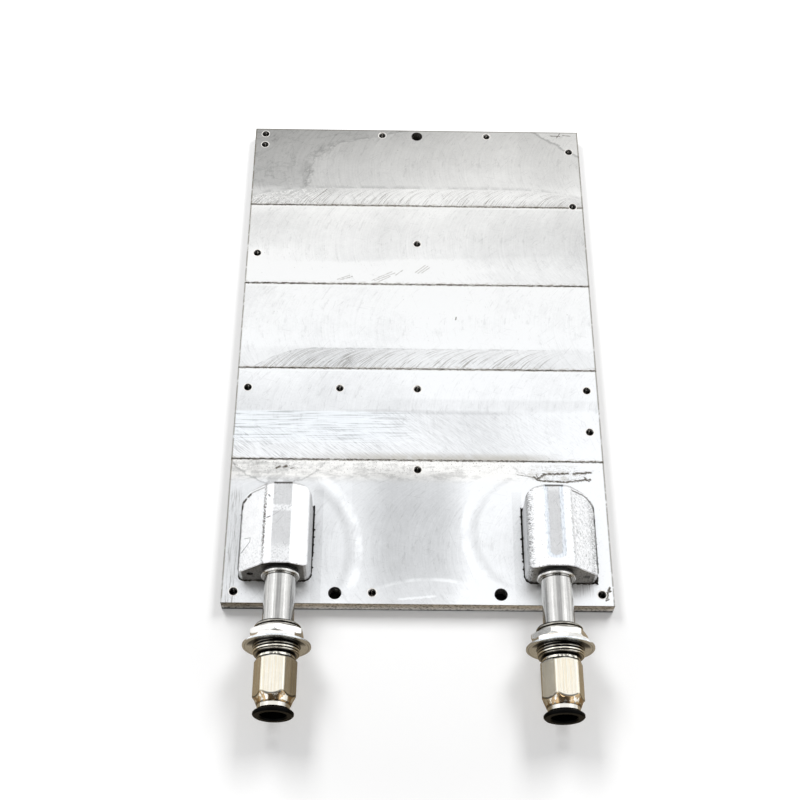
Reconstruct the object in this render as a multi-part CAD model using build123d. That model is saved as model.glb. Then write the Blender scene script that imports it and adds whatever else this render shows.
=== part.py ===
from build123d import *
import os

# Liquid cooling plate: a flat aluminium plate with coolant passages, two port blocks
# brazed on its top face, and a tube with a bulkhead push-in hose fitting on each block.
#
# Frame: the origin is the centre of the plate's underside. +X is to the right with the
# fittings towards the viewer, +Y runs away from the fittings, and +Z is up.
# Millimetres throughout. "Out" means along -Y, from a port block towards its hose.

# Plate
plate_width = 190.0
plate_length = 300.0
base_thickness = 5.0
cover_thickness = 3.0
plate_top = base_thickness + cover_thickness
right_edge = plate_width / 2
rear_edge = plate_length / 2
front_edge = -rear_edge

# Lanes that the face cutter leaves across the cover, counted from the rear edge
rear_lane_width = 56.8
lane_width = 54.9
lane_line_count = 4
lane_line_width = 0.4
lane_line_depth = 0.2

# Clearance holes for the plate's own M6 fixing screws, right through
fixing_hole_radius = 3.2
rear_fixing_inset = 4.6
front_fixing_inset = 5.4
front_fixing_half_spacing = 40.2

# Tapped holes, M4, blind in the base
tap_drill_radius = 1.65
tap_mouth_radius = 2.1
tap_mouth_depth = 0.45
tapped_depth = 6.4
side_inset = 5.9
rear_row_inset = 4.0
front_row_inset = 5.8
rear_left_pair_spacing = 8.1
rear_right_inset = 15.2
rear_row_left_x = -20.4
rear_row_right_x = 41.1
front_row_x = -22.2
right_rear_y = 94.2
left_rear_y = 58.8
centre_rear_y = 66.3
cross_row_y = -28.9
cross_row_left_x = -40.8
right_front_y = -53.9
centre_front_y = -76.9

# Coolant passages, milled into the base and closed by the cover
passage_depth = 3.3
passage_side_land = 14.0
passage_centre_land = 11.0
passage_rear_land = 14.0
passage_front_land = 17.0
passage_corner_radius = 5.0
rear_header_length = 24.0
front_header_length = 36.0
crossover_length = 20.0
rib_count = 6
rib_width = 2.0
island_radius = 4.6

# Port blocks, brazed on the cover
port_inset = 29.0
port_offset = right_edge - port_inset
block_setback = 11.6
block_length = 43.0
block_inner_reach = 14.0
block_outer_reach = 21.0
block_height = 21.0
crown_half_width = 4.5
ridge_reach = 8.2
ridge_drop = 1.5
outer_wall_height = 8.2
inner_shoulder_reach = 13.0
inner_shoulder_height = 16.9
inner_shoulder_radius = 1.6
outer_edge_radius = 0.8
inner_rear_corner_radius = 6.5
outer_rear_corner_radius = 7.0
outer_rear_relief = 1.5
inner_front_corner_radius = 4.0
outer_front_corner_radius = 3.0
axis_height = 10.5
block_front = front_edge + block_setback
port_radius = 5.0
port_setback = 30.4
braze_slot_width = 0.7
braze_slot_length = 28.0
braze_slot_start = 12.6
braze_slot_depth = 1.2
pressure_mark_radius = 1.6
pressure_mark_depth = 1.0
pressure_mark_reach = 14.9
pressure_mark_height = 8.0

# Tube between block and fitting
tube_radius = 7.5
tube_bore_radius = 4.5
tube_visible_length = 24.6
collar_radius = 9.15
collar_thickness = 1.3
collar_edge = 0.25
tube_seal_thickness = 1.6
tube_seal_radius = 8.7
tube_seal_bulge = 0.35
spigot_radius = 6.55
spigot_length = 11.5
spigot_edge = 0.6
thread_clearance = 0.05
thread_pocket_extra = 0.5

# Fitting body: threaded barrel, hexagon and mouth, turned from one bar
barrel_radius = 11.0
barrel_length = 14.6
barrel_rear_edge = 0.8
barrel_front_edge = 0.6
neck_radius = 8.6
neck_length = 0.6
hex_flats = 18.0
hex_bar_radius = 10.1
hex_shoulder_radius = 8.95
hex_rear_cone = 1.0
hex_chamfer = 1.4
hex_straight = 16.8
hex_front_cone = 2.6
mouth_radius = 7.95
seal_bore_radius = 7.6
seal_bore_depth = 12.4
hose_radius = 6.0
hose_seat_radius = 6.1
hose_stop_depth = 20.0
water_bore_radius = 4.5
left_hex_turn = 26.0
right_hex_turn = -20.8

# Nuts and washer on the barrel
nut_flats = 24.0
nut_thickness = 3.0
nut_corner_drop = 0.9
nut_corner_depth = 0.5
left_panel_nut_turn = -1.3
right_panel_nut_turn = -22.3
left_lock_nut_turn = -20.8
right_lock_nut_turn = 7.3
washer_radius = 16.05
washer_thickness = 1.0
washer_setback = 4.1
washer_hole_clearance = 0.25
washer_edge = 0.2

# Guide sleeve, release collet, claws, support ring and hose seal in the body's mouth
press_clearance = 0.02
slide_clearance = 0.08
sleeve_lip_length = 1.9
sleeve_depth = 7.0
sleeve_throat_depth = 1.5
sleeve_throat_wall = 0.65
sleeve_wall = 0.38
sleeve_mouth_edge = 0.3
collet_gap = 1.0
collet_lip_radius = 9.5
collet_lip_thickness = 2.0
collet_lip_round = 0.6
collet_lead_in = 0.7
collet_flare = 0.3
collet_bead_length = 1.4
collet_tail_depth = 6.5
collet_nose = 0.35
collet_slit_count = 4
collet_slit_width = 0.8
claw_thickness = 0.3
claw_rim_width = 0.6
claw_depth = 1.0
claw_count = 10
claw_slit_width = 0.7
hose_grip_clearance = 0.03
ring_gap = 0.1

hex_length = hex_rear_cone + hex_straight + 2 * hex_chamfer + hex_front_cone
barrel_start = tube_seal_thickness + collar_thickness + tube_visible_length
hex_start = barrel_start + barrel_length + neck_length
mouth_station = hex_start + hex_length
washer_front = barrel_start + barrel_length - washer_setback
lock_nut_front = washer_front - washer_thickness
panel_nut_front = lock_nut_front - nut_thickness
sleeve_outer_radius = seal_bore_radius - press_clearance
throat_radius = sleeve_outer_radius - sleeve_throat_wall
recess_radius = sleeve_outer_radius - sleeve_wall
collet_neck_radius = throat_radius - slide_clearance
collet_bead_radius = recess_radius - slide_clearance

os.makedirs("parts", exist_ok=True)


def upright_prism(outline, low, high):
    """A solid from a closed outline in the XY plane, between two heights."""
    return extrude(Pos(0, 0, low) * make_face(outline), amount=high - low)


def upright_hole(x, y, radius, low, high):
    return Pos(x, y, low) * extrude(Circle(radius), amount=high - low)


def lane_lines():
    """Heights along Y of the lines between neighbouring cutter lanes."""
    first = rear_edge - rear_lane_width
    return [first - step * lane_width for step in range(lane_line_count)]


def fixing_holes():
    front_y = front_edge + front_fixing_inset
    return [
        (0, rear_edge - rear_fixing_inset),
        (-front_fixing_half_spacing, front_y),
        (front_fixing_half_spacing, front_y),
    ]


def tapped_holes():
    left_x = -right_edge + side_inset
    right_x = right_edge - side_inset
    rear_y = rear_edge - rear_row_inset
    front_y = front_edge + front_row_inset
    left_column = [rear_y, rear_y - rear_left_pair_spacing, left_rear_y, cross_row_y, front_y]
    right_column = [
        rear_edge - rear_right_inset,
        right_rear_y,
        cross_row_y,
        right_front_y,
        front_y,
    ]
    centre_column = [centre_rear_y, cross_row_y, centre_front_y]
    places = [(left_x, y) for y in left_column]
    places += [(right_x, y) for y in right_column]
    places += [(0, y) for y in centre_column]
    places += [(rear_row_left_x, rear_y), (rear_row_right_x, rear_y)]
    places += [(front_row_x, front_y), (cross_row_left_x, cross_row_y)]
    return places


def drill_plate(plate, low, high):
    """Cut the fixing holes and the tapped holes where they pass between two heights."""
    for x, y in fixing_holes():
        plate -= upright_hole(x, y, fixing_hole_radius, low, high)
    tapped_floor = max(low, plate_top - tapped_depth)
    for x, y in tapped_holes():
        plate -= upright_hole(x, y, tap_drill_radius, tapped_floor, high)
    return plate


def passage_half():
    """The milled passages of the plate's right half: headers at both ends, ribs between."""
    inner = passage_centre_land / 2
    outer = right_edge - passage_side_land
    front = front_edge + passage_front_land
    rear = rear_edge - passage_rear_land
    floor = base_thickness - passage_depth
    corners = [(inner, front), (outer, front), (outer, rear), (inner, rear)]
    outline = FilletPolyline(*corners, radius=passage_corner_radius, close=True)
    pocket = upright_prism(outline, floor, base_thickness)
    lane = (outer - inner - rib_count * rib_width) / (rib_count + 1)
    rib_front = front + front_header_length
    rib_rear = rear - rear_header_length
    rib_length = rib_rear - rib_front
    rib_y = (rib_front + rib_rear) / 2
    for index in range(rib_count):
        rib_x = inner + (index + 1) * lane + (index + 0.5) * rib_width
        rib = extrude(SlotOverall(rib_length, rib_width, rotation=90), amount=passage_depth)
        pocket -= Pos(rib_x, rib_y, floor) * rib
    return pocket


def base_plate():
    plate = Pos(0, 0, base_thickness / 2) * Box(plate_width, plate_length, base_thickness)
    floor = base_thickness - passage_depth
    island = upright_hole(cross_row_left_x, cross_row_y, island_radius, floor, base_thickness)
    right_half = passage_half()
    left_half = mirror(right_half, about=Plane.YZ) - island
    crossover_width = passage_centre_land + 2 * passage_corner_radius
    crossover_y = rear_edge - passage_rear_land - crossover_length / 2
    crossover = Box(crossover_width, crossover_length, 2 * passage_depth)
    crossover = Pos(0, crossover_y, base_thickness) * crossover
    plate = plate - right_half - left_half - crossover
    return drill_plate(plate, 0, base_thickness)


def cover_plate():
    middle = base_thickness + cover_thickness / 2
    plate = Pos(0, 0, middle) * Box(plate_width, plate_length, cover_thickness)
    for y in lane_lines():
        line = Box(plate_width, lane_line_width, 2 * lane_line_depth)
        plate -= Pos(0, y, plate_top) * line
    plate = drill_plate(plate, base_thickness, plate_top)
    for x, y in tapped_holes():
        mouth = Cone(tap_drill_radius, tap_mouth_radius, tap_mouth_depth)
        plate -= Pos(x, y, plate_top - tap_mouth_depth / 2) * mouth
    for side in (-1, 1):
        port_y = block_front + port_setback
        plate -= upright_hole(side * port_offset, port_y, port_radius, base_thickness, plate_top)
        slot_x = side * (port_offset - block_inner_reach - braze_slot_width / 2)
        slot_y = block_front + braze_slot_start + braze_slot_length / 2
        slot = Box(braze_slot_width, braze_slot_length, 2 * braze_slot_depth)
        plate -= Pos(slot_x, slot_y, plate_top) * slot
    return plate


def port_block(side):
    """A block whose front profile runs its whole length, trimmed to a rounded plan."""

    def across(reach):
        return side * (port_offset + reach)

    section = [
        (across(-block_inner_reach), 0),
        (across(-block_inner_reach), inner_shoulder_height - inner_shoulder_radius),
        (across(-inner_shoulder_reach), inner_shoulder_height),
        (across(-crown_half_width), block_height),
        (across(crown_half_width), block_height),
        (across(ridge_reach), block_height - ridge_drop),
        (across(block_outer_reach), outer_wall_height),
        (across(block_outer_reach), 0),
    ]
    section_rounds = [0, inner_shoulder_radius, inner_shoulder_radius, 0, 0, 0, outer_edge_radius, 0]
    lifted = [(x, height + plate_top) for x, height in section]
    profile = make_face(FilletPolyline(*lifted, radius=section_rounds, close=True))
    front_plane = Plane(origin=(0, block_front, 0), x_dir=(1, 0, 0), z_dir=(0, -1, 0))
    bar = extrude(front_plane * profile, amount=-block_length)

    rear = block_front + block_length
    plan = [
        (across(-block_inner_reach), block_front),
        (across(block_outer_reach), block_front),
        (across(block_outer_reach), rear - outer_rear_relief),
        (across(ridge_reach), rear),
        (across(-block_inner_reach), rear),
    ]
    plan_rounds = [
        inner_front_corner_radius,
        outer_front_corner_radius,
        outer_rear_corner_radius,
        0,
        inner_rear_corner_radius,
    ]
    footprint = FilletPolyline(*plan, radius=plan_rounds, close=True)
    block = bar & upright_prism(footprint, plate_top, plate_top + block_height)

    tube_seat = spigot_length + thread_pocket_extra
    seat = port_frame(side) * stud(spigot_radius + thread_clearance, -tube_seat, 0)
    passage = port_frame(side) * stud(tube_bore_radius, -port_setback, 0)
    drop_y = block_front + port_setback
    drop_high = plate_top + axis_height
    drop = upright_hole(side * port_offset, drop_y, port_radius, plate_top, drop_high)
    round_end = Pos(side * port_offset, drop_y, drop_high) * Sphere(port_radius)
    block = block - seat - passage - drop - round_end
    if side < 0:
        mark_x = across(pressure_mark_reach)
        mark_plane = Pos(mark_x, block_front, plate_top + pressure_mark_height) * Rot(90, 0, 0)
        block -= mark_plane * stud(pressure_mark_radius, -pressure_mark_depth, 0)
    return block


def port_frame(side):
    """Places a turned piece: its own +Z runs out along a port's axis from the block's face."""
    return Pos(side * port_offset, block_front, plate_top + axis_height) * Rot(90, 0, 0)


def stud(radius, start, end):
    return Pos(0, 0, start) * extrude(Circle(radius), amount=end - start)


def turned(*outline):
    """A turned solid from an outline of (radius, station) points."""
    return revolve(Plane.XZ * make_face(Polyline(*outline, close=True)), axis=Axis.Z)


def hexagon_bar(flats, start, end, turn):
    """A hexagonal bar with one corner at the top, turned from there towards +X."""
    hexagon = RegularPolygon(flats / 2, 6, major_radius=False, rotation=90 - turn)
    return Pos(0, 0, start) * extrude(hexagon, amount=end - start)


def tube_seal():
    bore = spigot_radius + thread_clearance
    middle = tube_seal_thickness / 2
    return turned(
        (bore, 0),
        (tube_seal_radius - tube_seal_bulge, 0),
        (tube_seal_radius, middle),
        (tube_seal_radius - tube_seal_bulge, tube_seal_thickness),
        (bore, tube_seal_thickness),
    )


def tube():
    """Tube with a collar, and a threaded spigot at each end."""
    collar_end = tube_seal_thickness + collar_thickness
    far_end = barrel_start + spigot_length
    return turned(
        (tube_bore_radius, -spigot_length),
        (spigot_radius - spigot_edge, -spigot_length),
        (spigot_radius, -spigot_length + spigot_edge),
        (spigot_radius, tube_seal_thickness),
        (collar_radius - collar_edge, tube_seal_thickness),
        (collar_radius, tube_seal_thickness + collar_edge),
        (collar_radius, collar_end - collar_edge),
        (collar_radius - collar_edge, collar_end),
        (tube_radius, collar_end),
        (tube_radius, barrel_start),
        (spigot_radius, barrel_start),
        (spigot_radius, far_end - spigot_edge),
        (spigot_radius - spigot_edge, far_end),
        (tube_bore_radius, far_end),
    )


def fitting_body(turn):
    barrel_end = barrel_start + barrel_length
    barrel = turned(
        (0, barrel_start),
        (barrel_radius - barrel_rear_edge, barrel_start),
        (barrel_radius, barrel_start + barrel_rear_edge),
        (barrel_radius, barrel_end - barrel_front_edge),
        (barrel_radius - barrel_front_edge, barrel_end),
        (0, barrel_end),
    )
    rear_shoulder = hex_start + hex_rear_cone
    front_shoulder = mouth_station - hex_front_cone
    envelope = turned(
        (0, barrel_end),
        (neck_radius, barrel_end),
        (neck_radius, hex_start),
        (hex_shoulder_radius, rear_shoulder),
        (hex_bar_radius, rear_shoulder + hex_chamfer),
        (hex_bar_radius, front_shoulder - hex_chamfer),
        (hex_shoulder_radius, front_shoulder),
        (mouth_radius, mouth_station),
        (0, mouth_station),
    )
    grip = hexagon_bar(hex_flats, barrel_end, mouth_station, turn) & envelope
    tube_seat_end = barrel_start + spigot_length + thread_pocket_extra
    hose_stop = mouth_station - hose_stop_depth
    seal_floor = mouth_station - seal_bore_depth
    body = barrel + grip
    body -= stud(spigot_radius + thread_clearance, barrel_start, tube_seat_end)
    body -= stud(water_bore_radius, barrel_start, hose_stop)
    body -= stud(hose_seat_radius, hose_stop, mouth_station)
    body -= stud(seal_bore_radius, seal_floor, mouth_station)
    return body


def hexagon_corner(flats):
    """Radius of a hexagon's corners, from the size across its flats."""
    return flats / 3**0.5


def hexagon_nut(front, turn):
    rear = front - nut_thickness
    corner = hexagon_corner(nut_flats)
    dome = turned(
        (0, rear),
        (corner - nut_corner_drop, rear),
        (corner, rear + nut_corner_depth),
        (corner, front - nut_corner_depth),
        (corner - nut_corner_drop, front),
        (0, front),
    )
    bore = stud(barrel_radius + thread_clearance, rear, front)
    return (hexagon_bar(nut_flats, rear, front, turn) & dome) - bore


def washer():
    rear = washer_front - washer_thickness
    bore = barrel_radius + washer_hole_clearance
    return turned(
        (bore, rear),
        (washer_radius - washer_edge, rear),
        (washer_radius, rear + washer_edge),
        (washer_radius, washer_front - washer_edge),
        (washer_radius - washer_edge, washer_front),
        (bore, washer_front),
    )


def guide_sleeve():
    front = mouth_station + sleeve_lip_length
    throat_end = mouth_station - sleeve_throat_depth
    rear = mouth_station - sleeve_depth
    return turned(
        (recess_radius, rear),
        (sleeve_outer_radius, rear),
        (sleeve_outer_radius, front),
        (throat_radius + sleeve_mouth_edge, front),
        (throat_radius, front - sleeve_mouth_edge),
        (throat_radius, throat_end),
        (recess_radius, throat_end),
    )


def release_collet():
    """Slit tail that opens the claws, a bead that keeps it in, and the lip that is pressed."""
    lip_rear = mouth_station + sleeve_lip_length + collet_gap
    lip_front = lip_rear + collet_lip_thickness
    bead_front = mouth_station - sleeve_throat_depth - ring_gap
    bead_rear = bead_front - collet_bead_length
    tail = mouth_station - collet_tail_depth
    inner = hose_seat_radius
    flared = collet_neck_radius + collet_flare
    collet = turned(
        (inner, tail),
        (collet_neck_radius - collet_nose, tail),
        (collet_neck_radius, tail + collet_nose),
        (collet_neck_radius, bead_rear),
        (collet_bead_radius, bead_rear + collet_nose),
        (collet_bead_radius, bead_front),
        (collet_neck_radius, bead_front),
        (collet_neck_radius, lip_rear - collet_flare),
        (flared, lip_rear),
        (collet_lip_radius - collet_lip_round, lip_rear),
        (collet_lip_radius, lip_rear + collet_lip_round),
        (collet_lip_radius, lip_front - collet_lip_round),
        (collet_lip_radius - collet_lip_round, lip_front),
        (inner + collet_lead_in, lip_front),
        (inner, lip_front - collet_lead_in),
    )
    slit_length = bead_front - tail
    slit = radial_slit(collet_slit_width, tail, slit_length)
    for index in range(collet_slit_count):
        collet -= Rot(0, 0, index * 360 / collet_slit_count) * slit
    return collet


def radial_slit(width, start, length):
    """A bar from the axis outwards, past the seal bore, to cut one slit in a ring."""
    reach = 2 * seal_bore_radius
    return Pos(reach / 2, 0, start + length / 2) * Box(reach, width, length)


def claw_ring():
    """Sprung ring whose teeth lean inwards, drawn opened to a hose's size."""
    front = mouth_station - sleeve_depth
    rim_inner = sleeve_outer_radius - claw_rim_width
    tip = hose_radius + hose_grip_clearance
    ring = turned(
        (sleeve_outer_radius, front),
        (sleeve_outer_radius, front - claw_thickness),
        (rim_inner, front - claw_thickness),
        (tip, front - claw_thickness - claw_depth),
        (tip, front - claw_depth),
        (rim_inner, front),
    )
    slit_depth = claw_thickness + claw_depth
    slit = radial_slit(claw_slit_width, front - slit_depth, slit_depth) & stud(
        rim_inner, front - slit_depth, front
    )
    for index in range(claw_count):
        ring -= Rot(0, 0, index * 360 / claw_count) * slit
    return ring


def support_ring():
    """Ring with a hollow front for the claws' tips and a flat back for the hose seal."""
    seal_floor = mouth_station - seal_bore_depth
    rear = seal_floor + hose_seal_cord() + 2 * ring_gap
    front = mouth_station - sleeve_depth - claw_thickness
    inner = hose_seat_radius
    step = front - claw_depth - ring_gap
    rim_inner = sleeve_outer_radius - claw_rim_width
    return turned(
        (inner, rear),
        (sleeve_outer_radius, rear),
        (sleeve_outer_radius, front),
        (rim_inner, front),
        (inner, step),
    )


def hose_seal_cord():
    """Thickness of the seal's cord as it is with a hose in place."""
    return sleeve_outer_radius - hose_radius - hose_grip_clearance


def hose_seal():
    cord_radius = hose_seal_cord() / 2
    middle = mouth_station - seal_bore_depth + ring_gap + cord_radius
    return Pos(0, 0, middle) * Torus(sleeve_outer_radius - cord_radius, cord_radius)


def build():
    """Every piece by its name, each in the place it has on the finished plate."""
    parts = {"base_plate": base_plate(), "cover_plate": cover_plate()}
    turns = {
        "left": (-1, left_hex_turn, left_panel_nut_turn, left_lock_nut_turn),
        "right": (1, right_hex_turn, right_panel_nut_turn, right_lock_nut_turn),
    }
    for name, (side, hex_turn, panel_turn, lock_turn) in turns.items():
        parts[f"{name}_port_block"] = port_block(side)
        along_port = {
            "tube_seal": tube_seal(),
            "tube": tube(),
            "fitting_body": fitting_body(hex_turn),
            "panel_nut": hexagon_nut(panel_nut_front, panel_turn),
            "lock_nut": hexagon_nut(lock_nut_front, lock_turn),
            "washer": washer(),
            "guide_sleeve": guide_sleeve(),
            "release_collet": release_collet(),
            "claw_ring": claw_ring(),
            "support_ring": support_ring(),
            "hose_seal": hose_seal(),
        }
        for piece, shape in along_port.items():
            parts[f"{name}_{piece}"] = port_frame(side) * shape
    return parts


for node, shape in build().items():
    export_step(shape, f"parts/{node}.step")
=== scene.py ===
import math
import random

import bmesh
import bpy
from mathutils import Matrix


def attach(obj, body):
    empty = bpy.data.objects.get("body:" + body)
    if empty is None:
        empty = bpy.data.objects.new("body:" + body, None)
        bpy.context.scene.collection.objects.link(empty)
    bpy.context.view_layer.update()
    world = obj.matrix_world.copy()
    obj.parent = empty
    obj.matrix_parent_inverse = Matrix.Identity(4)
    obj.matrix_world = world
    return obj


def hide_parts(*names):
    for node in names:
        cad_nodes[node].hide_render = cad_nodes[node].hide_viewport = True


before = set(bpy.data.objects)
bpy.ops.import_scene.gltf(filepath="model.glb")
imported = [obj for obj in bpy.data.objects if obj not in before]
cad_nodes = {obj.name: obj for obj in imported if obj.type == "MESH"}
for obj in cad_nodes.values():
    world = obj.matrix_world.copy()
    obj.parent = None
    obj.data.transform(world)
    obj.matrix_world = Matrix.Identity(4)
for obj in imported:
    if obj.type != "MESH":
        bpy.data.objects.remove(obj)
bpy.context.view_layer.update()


# Plate: a base and a cover of milled aluminium, brazed together over the coolant
# passages. One wide cutter faced the cover in five passes, which left lanes with fine
# curved strokes, and it went round the port blocks in the front lane.
class Field:
    """A number that changes over a surface. Arithmetic on it adds the shader's math."""

    def __init__(self, socket):
        self.socket = socket
        self.tree = socket.id_data

    def math(self, operation, *others):
        node = self.tree.nodes.new("ShaderNodeMath")
        node.operation = operation
        for socket, value in zip(node.inputs, (self, *others)):
            feed(socket, value)
        return Field(node.outputs[0])

    def __add__(self, other):
        return self.math("ADD", other)

    def __sub__(self, other):
        return self.math("SUBTRACT", other)

    def __rsub__(self, other):
        return self.math("MULTIPLY", -1.0).math("ADD", other)

    def __mul__(self, other):
        return self.math("MULTIPLY", other)

    def __truediv__(self, other):
        return self.math("DIVIDE", other)

    def __pow__(self, other):
        return self.math("POWER", other)

    __radd__ = __add__

    def size(self):
        return self.math("ABSOLUTE")

    def at_least(self, low):
        return self.math("MAXIMUM", low)

    def at_most(self, high):
        return self.math("MINIMUM", high)

    def near(self, place, edge, core, low=0.0, high=1.0):
        """Goes from low to high as the way to a place goes from edge to core."""
        away = self - place if place else self
        return away.size().between(edge, core, low, high)

    def between(self, start, end, low=0.0, high=1.0):
        """Goes smoothly from low to high as this goes from start to end."""
        node = self.tree.nodes.new("ShaderNodeMapRange")
        node.interpolation_type = "SMOOTHSTEP"
        for socket, value in zip(node.inputs, (self, start, end, low, high)):
            feed(socket, value)
        return Field(node.outputs[0])


def feed(socket, value):
    if isinstance(value, Field):
        socket.id_data.links.new(value.socket, socket)
    elif isinstance(value, bpy.types.NodeSocket):
        socket.id_data.links.new(value, socket)
    else:
        socket.default_value = value


def vector(x, y, z):
    """A place from three numbers, of which the first is a Field."""
    node = x.tree.nodes.new("ShaderNodeCombineXYZ")
    for socket, value in zip(node.inputs, (x, y, z)):
        feed(socket, value)
    return node.outputs[0]


def parts_of(place):
    node = place.id_data.nodes.new("ShaderNodeSeparateXYZ")
    feed(node.inputs[0], place)
    return [Field(socket) for socket in node.outputs]


def place_mm(tree):
    """Where a point of the piece is at rest, in millimetres: the vector and its parts."""
    corner = tree.nodes.new("ShaderNodeTexCoord")
    scaled = tree.nodes.new("ShaderNodeVectorMath")
    scaled.operation = "SCALE"
    feed(scaled.inputs[0], corner.outputs["Object"])
    scaled.inputs["Scale"].default_value = 1000.0
    place = scaled.outputs[0]
    return place, *parts_of(place)


def turned_about_z(place, degrees):
    node = place.id_data.nodes.new("ShaderNodeVectorRotate")
    node.rotation_type = "Z_AXIS"
    feed(node.inputs["Vector"], place)
    node.inputs["Angle"].default_value = math.radians(degrees)
    return node.outputs[0]


def clouds(place, grain=1.0, detail=3.0, roughness=0.55, twist=0.0):
    """Noise from 0 to 1, whose largest clouds are about one grain across."""
    node = place.id_data.nodes.new("ShaderNodeTexNoise")
    feed(node.inputs["Vector"], place)
    feed(node.inputs["Scale"], grain if isinstance(grain, Field) else 1.0 / grain)
    node.inputs["Detail"].default_value = detail
    node.inputs["Roughness"].default_value = roughness
    node.inputs["Distortion"].default_value = twist
    return Field(node.outputs[0])


def streaks(across, detail=3.0, roughness=0.55, twist=0.0):
    """Noise from 0 to 1 over x, y and z that are each divided by the length they need."""
    return clouds(vector(*across), 1.0, detail, roughness, twist)


def mixed(share, *colours):
    """The first colour, and as much of the second as share says."""
    node = share.tree.nodes.new("ShaderNodeMix")
    node.data_type = "RGBA"
    feed(node.inputs[0], share)
    for socket, colour in zip(node.inputs[6:8], colours):
        feed(socket, (*colour, 1.0) if isinstance(colour, tuple) else colour)
    return node.outputs[2]


def painted(tone, warm):
    """A metal's colour from how pale it looks, 0 to 1, and its tint (r, g, b)."""
    light = tone.at_least(0.0) ** 2.2
    node = tone.tree.nodes.new("ShaderNodeVectorMath")
    node.operation = "SCALE"
    feed(node.inputs[0], warm)
    feed(node.inputs["Scale"], light)
    return node.outputs[0]


def ramp(share, stops):
    """A number read from (position, value) stops as share goes from 0 to 1."""
    node = share.tree.nodes.new("ShaderNodeValToRGB")
    feed(node.inputs[0], share)
    band = node.color_ramp
    while len(band.elements) < len(stops):
        band.elements.new(0.5)
    for element, (position, value) in zip(band.elements, stops):
        element.position = position
        element.color = (value, value, value, value)
    return Field(node.outputs["Alpha"])


def effect(name, inputs, outputs):
    """A shader group for an effect that several materials use, with its end nodes."""
    group = bpy.data.node_groups.new(name, "ShaderNodeTree")
    kinds = {"vector": "NodeSocketVector", "number": "NodeSocketFloat"}
    for label, kind in inputs:
        group.interface.new_socket(label, in_out="INPUT", socket_type=kinds[kind])
    for label, kind in outputs:
        group.interface.new_socket(label, in_out="OUTPUT", socket_type=kinds[kind])
    start = group.nodes.new("NodeGroupInput")
    end = group.nodes.new("NodeGroupOutput")
    return group, start.outputs, end.inputs


def use(tree, group, **values):
    node = tree.nodes.new("ShaderNodeGroup")
    node.node_tree = group
    for label, value in values.items():
        feed(node.inputs[label], value)
    return {socket.name: Field(socket) for socket in node.outputs}


def scratch_group():
    """Sparse hairline scratches that run several ways."""
    group, given, result = effect(
        "hairline_scratches", [("Place", "vector"), ("Length", "number")], [("Mark", "number")]
    )
    length = Field(given["Length"])
    hairs = []
    for degrees, width in ((12, 0.35), (71, 0.28), (-38, 0.4), (128, 0.3)):
        x, y, z = parts_of(turned_about_z(given["Place"], degrees))
        hairs.append(streaks((x / length, y / width, z / width), 1.0, 0.4).between(0.71, 0.78))
    feed(result["Mark"], strongest(hairs))
    return group


def rounded_edge_group():
    """Edges broken by handling: how far a point is onto its rounded edge, which materials paint
    paler as wear and as painted highlight, and the rounded normal there.
    """
    group, given, result = effect(
        "broken_edges", [("Radius", "number")], [("Wear and sheen", "number"), ("Normal", "vector")]
    )
    bevel = group.nodes.new("ShaderNodeBevel")
    bevel.samples = 4
    feed(bevel.inputs["Radius"], given["Radius"])
    flat = group.nodes.new("ShaderNodeNewGeometry")
    dot = group.nodes.new("ShaderNodeVectorMath")
    dot.operation = "DOT_PRODUCT"
    feed(dot.inputs[0], bevel.outputs[0])
    feed(dot.inputs[1], flat.outputs["Normal"])
    feed(result["Wear and sheen"], Field(dot.outputs["Value"]).between(0.995, 0.9))
    feed(result["Normal"], bevel.outputs[0])
    return group


def new_metal(name, metallic=1.0):
    material = bpy.data.materials.new(name)
    material.use_nodes = True
    shader = material.node_tree.nodes["Principled BSDF"]
    shader.inputs["Metallic"].default_value = metallic
    return material, material.node_tree, shader


def bumped(height, depth_mm, normal=None):
    """The normal of a surface with a relief, whose height goes from 0 to 1."""
    node = height.tree.nodes.new("ShaderNodeBump")
    node.inputs["Strength"].default_value = 1.0
    node.inputs["Distance"].default_value = depth_mm / 1000.0
    feed(node.inputs["Height"], height)
    if normal is not None:
        feed(node.inputs["Normal"], normal)
    return node.outputs[0]


def surface(shader, colour, roughness, normal=None):
    """Gives a shader its colour, its roughness and its relief."""
    feed(shader.inputs["Base Color"], colour)
    feed(shader.inputs["Roughness"], roughness)
    if normal is not None:
        feed(shader.inputs["Normal"], normal)


def dress(material, *names):
    """Gives a material to the CAD's own pieces."""
    for name in names:
        thing = cad_nodes[name]
        thing.data.materials.clear()
        thing.data.materials.append(material)


def hypot(a, b):
    return (a * a + b * b) ** 0.5


def strongest(fields):
    """The greatest of several numbers at each point."""
    greatest, *others = fields
    for other in others:
        greatest = greatest.at_least(other)
    return greatest


def stroke(x, y, start, end, width, rough=0.0):
    """A scratch from start to end, 1 on its line and 0 beside it."""
    (x0, y0), (x1, y1) = start, end
    along_x, along_y = x1 - x0, y1 - y0
    length = along_x**2 + along_y**2
    share = ((x - x0) * along_x + (y - y0) * along_y) / length
    share = share.at_least(0.0).at_most(1.0)
    away = hypot(x - x0 - share * along_x, y - y0 - share * along_y)
    if rough:
        ragged = clouds(vector(x, y, 0.0), 1.3, 4.0, 0.7)
        away += (ragged - 0.45) * rough
    return away.between(width, width * 0.3)


def marks(x, y, lines, width, rough=0.0):
    """Scratches along several (start, end) lines."""
    return strongest([stroke(x, y, start, end, width, rough) for start, end in lines])


hairlines = scratch_group()
broken_edges = rounded_edge_group()

lane_lines = (93.2, 38.3, -16.6, -71.5)
plate_half_length = 150.0
plate_half_width = 95.0
plate_top = 8.0
cover_joint = 5.0

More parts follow.
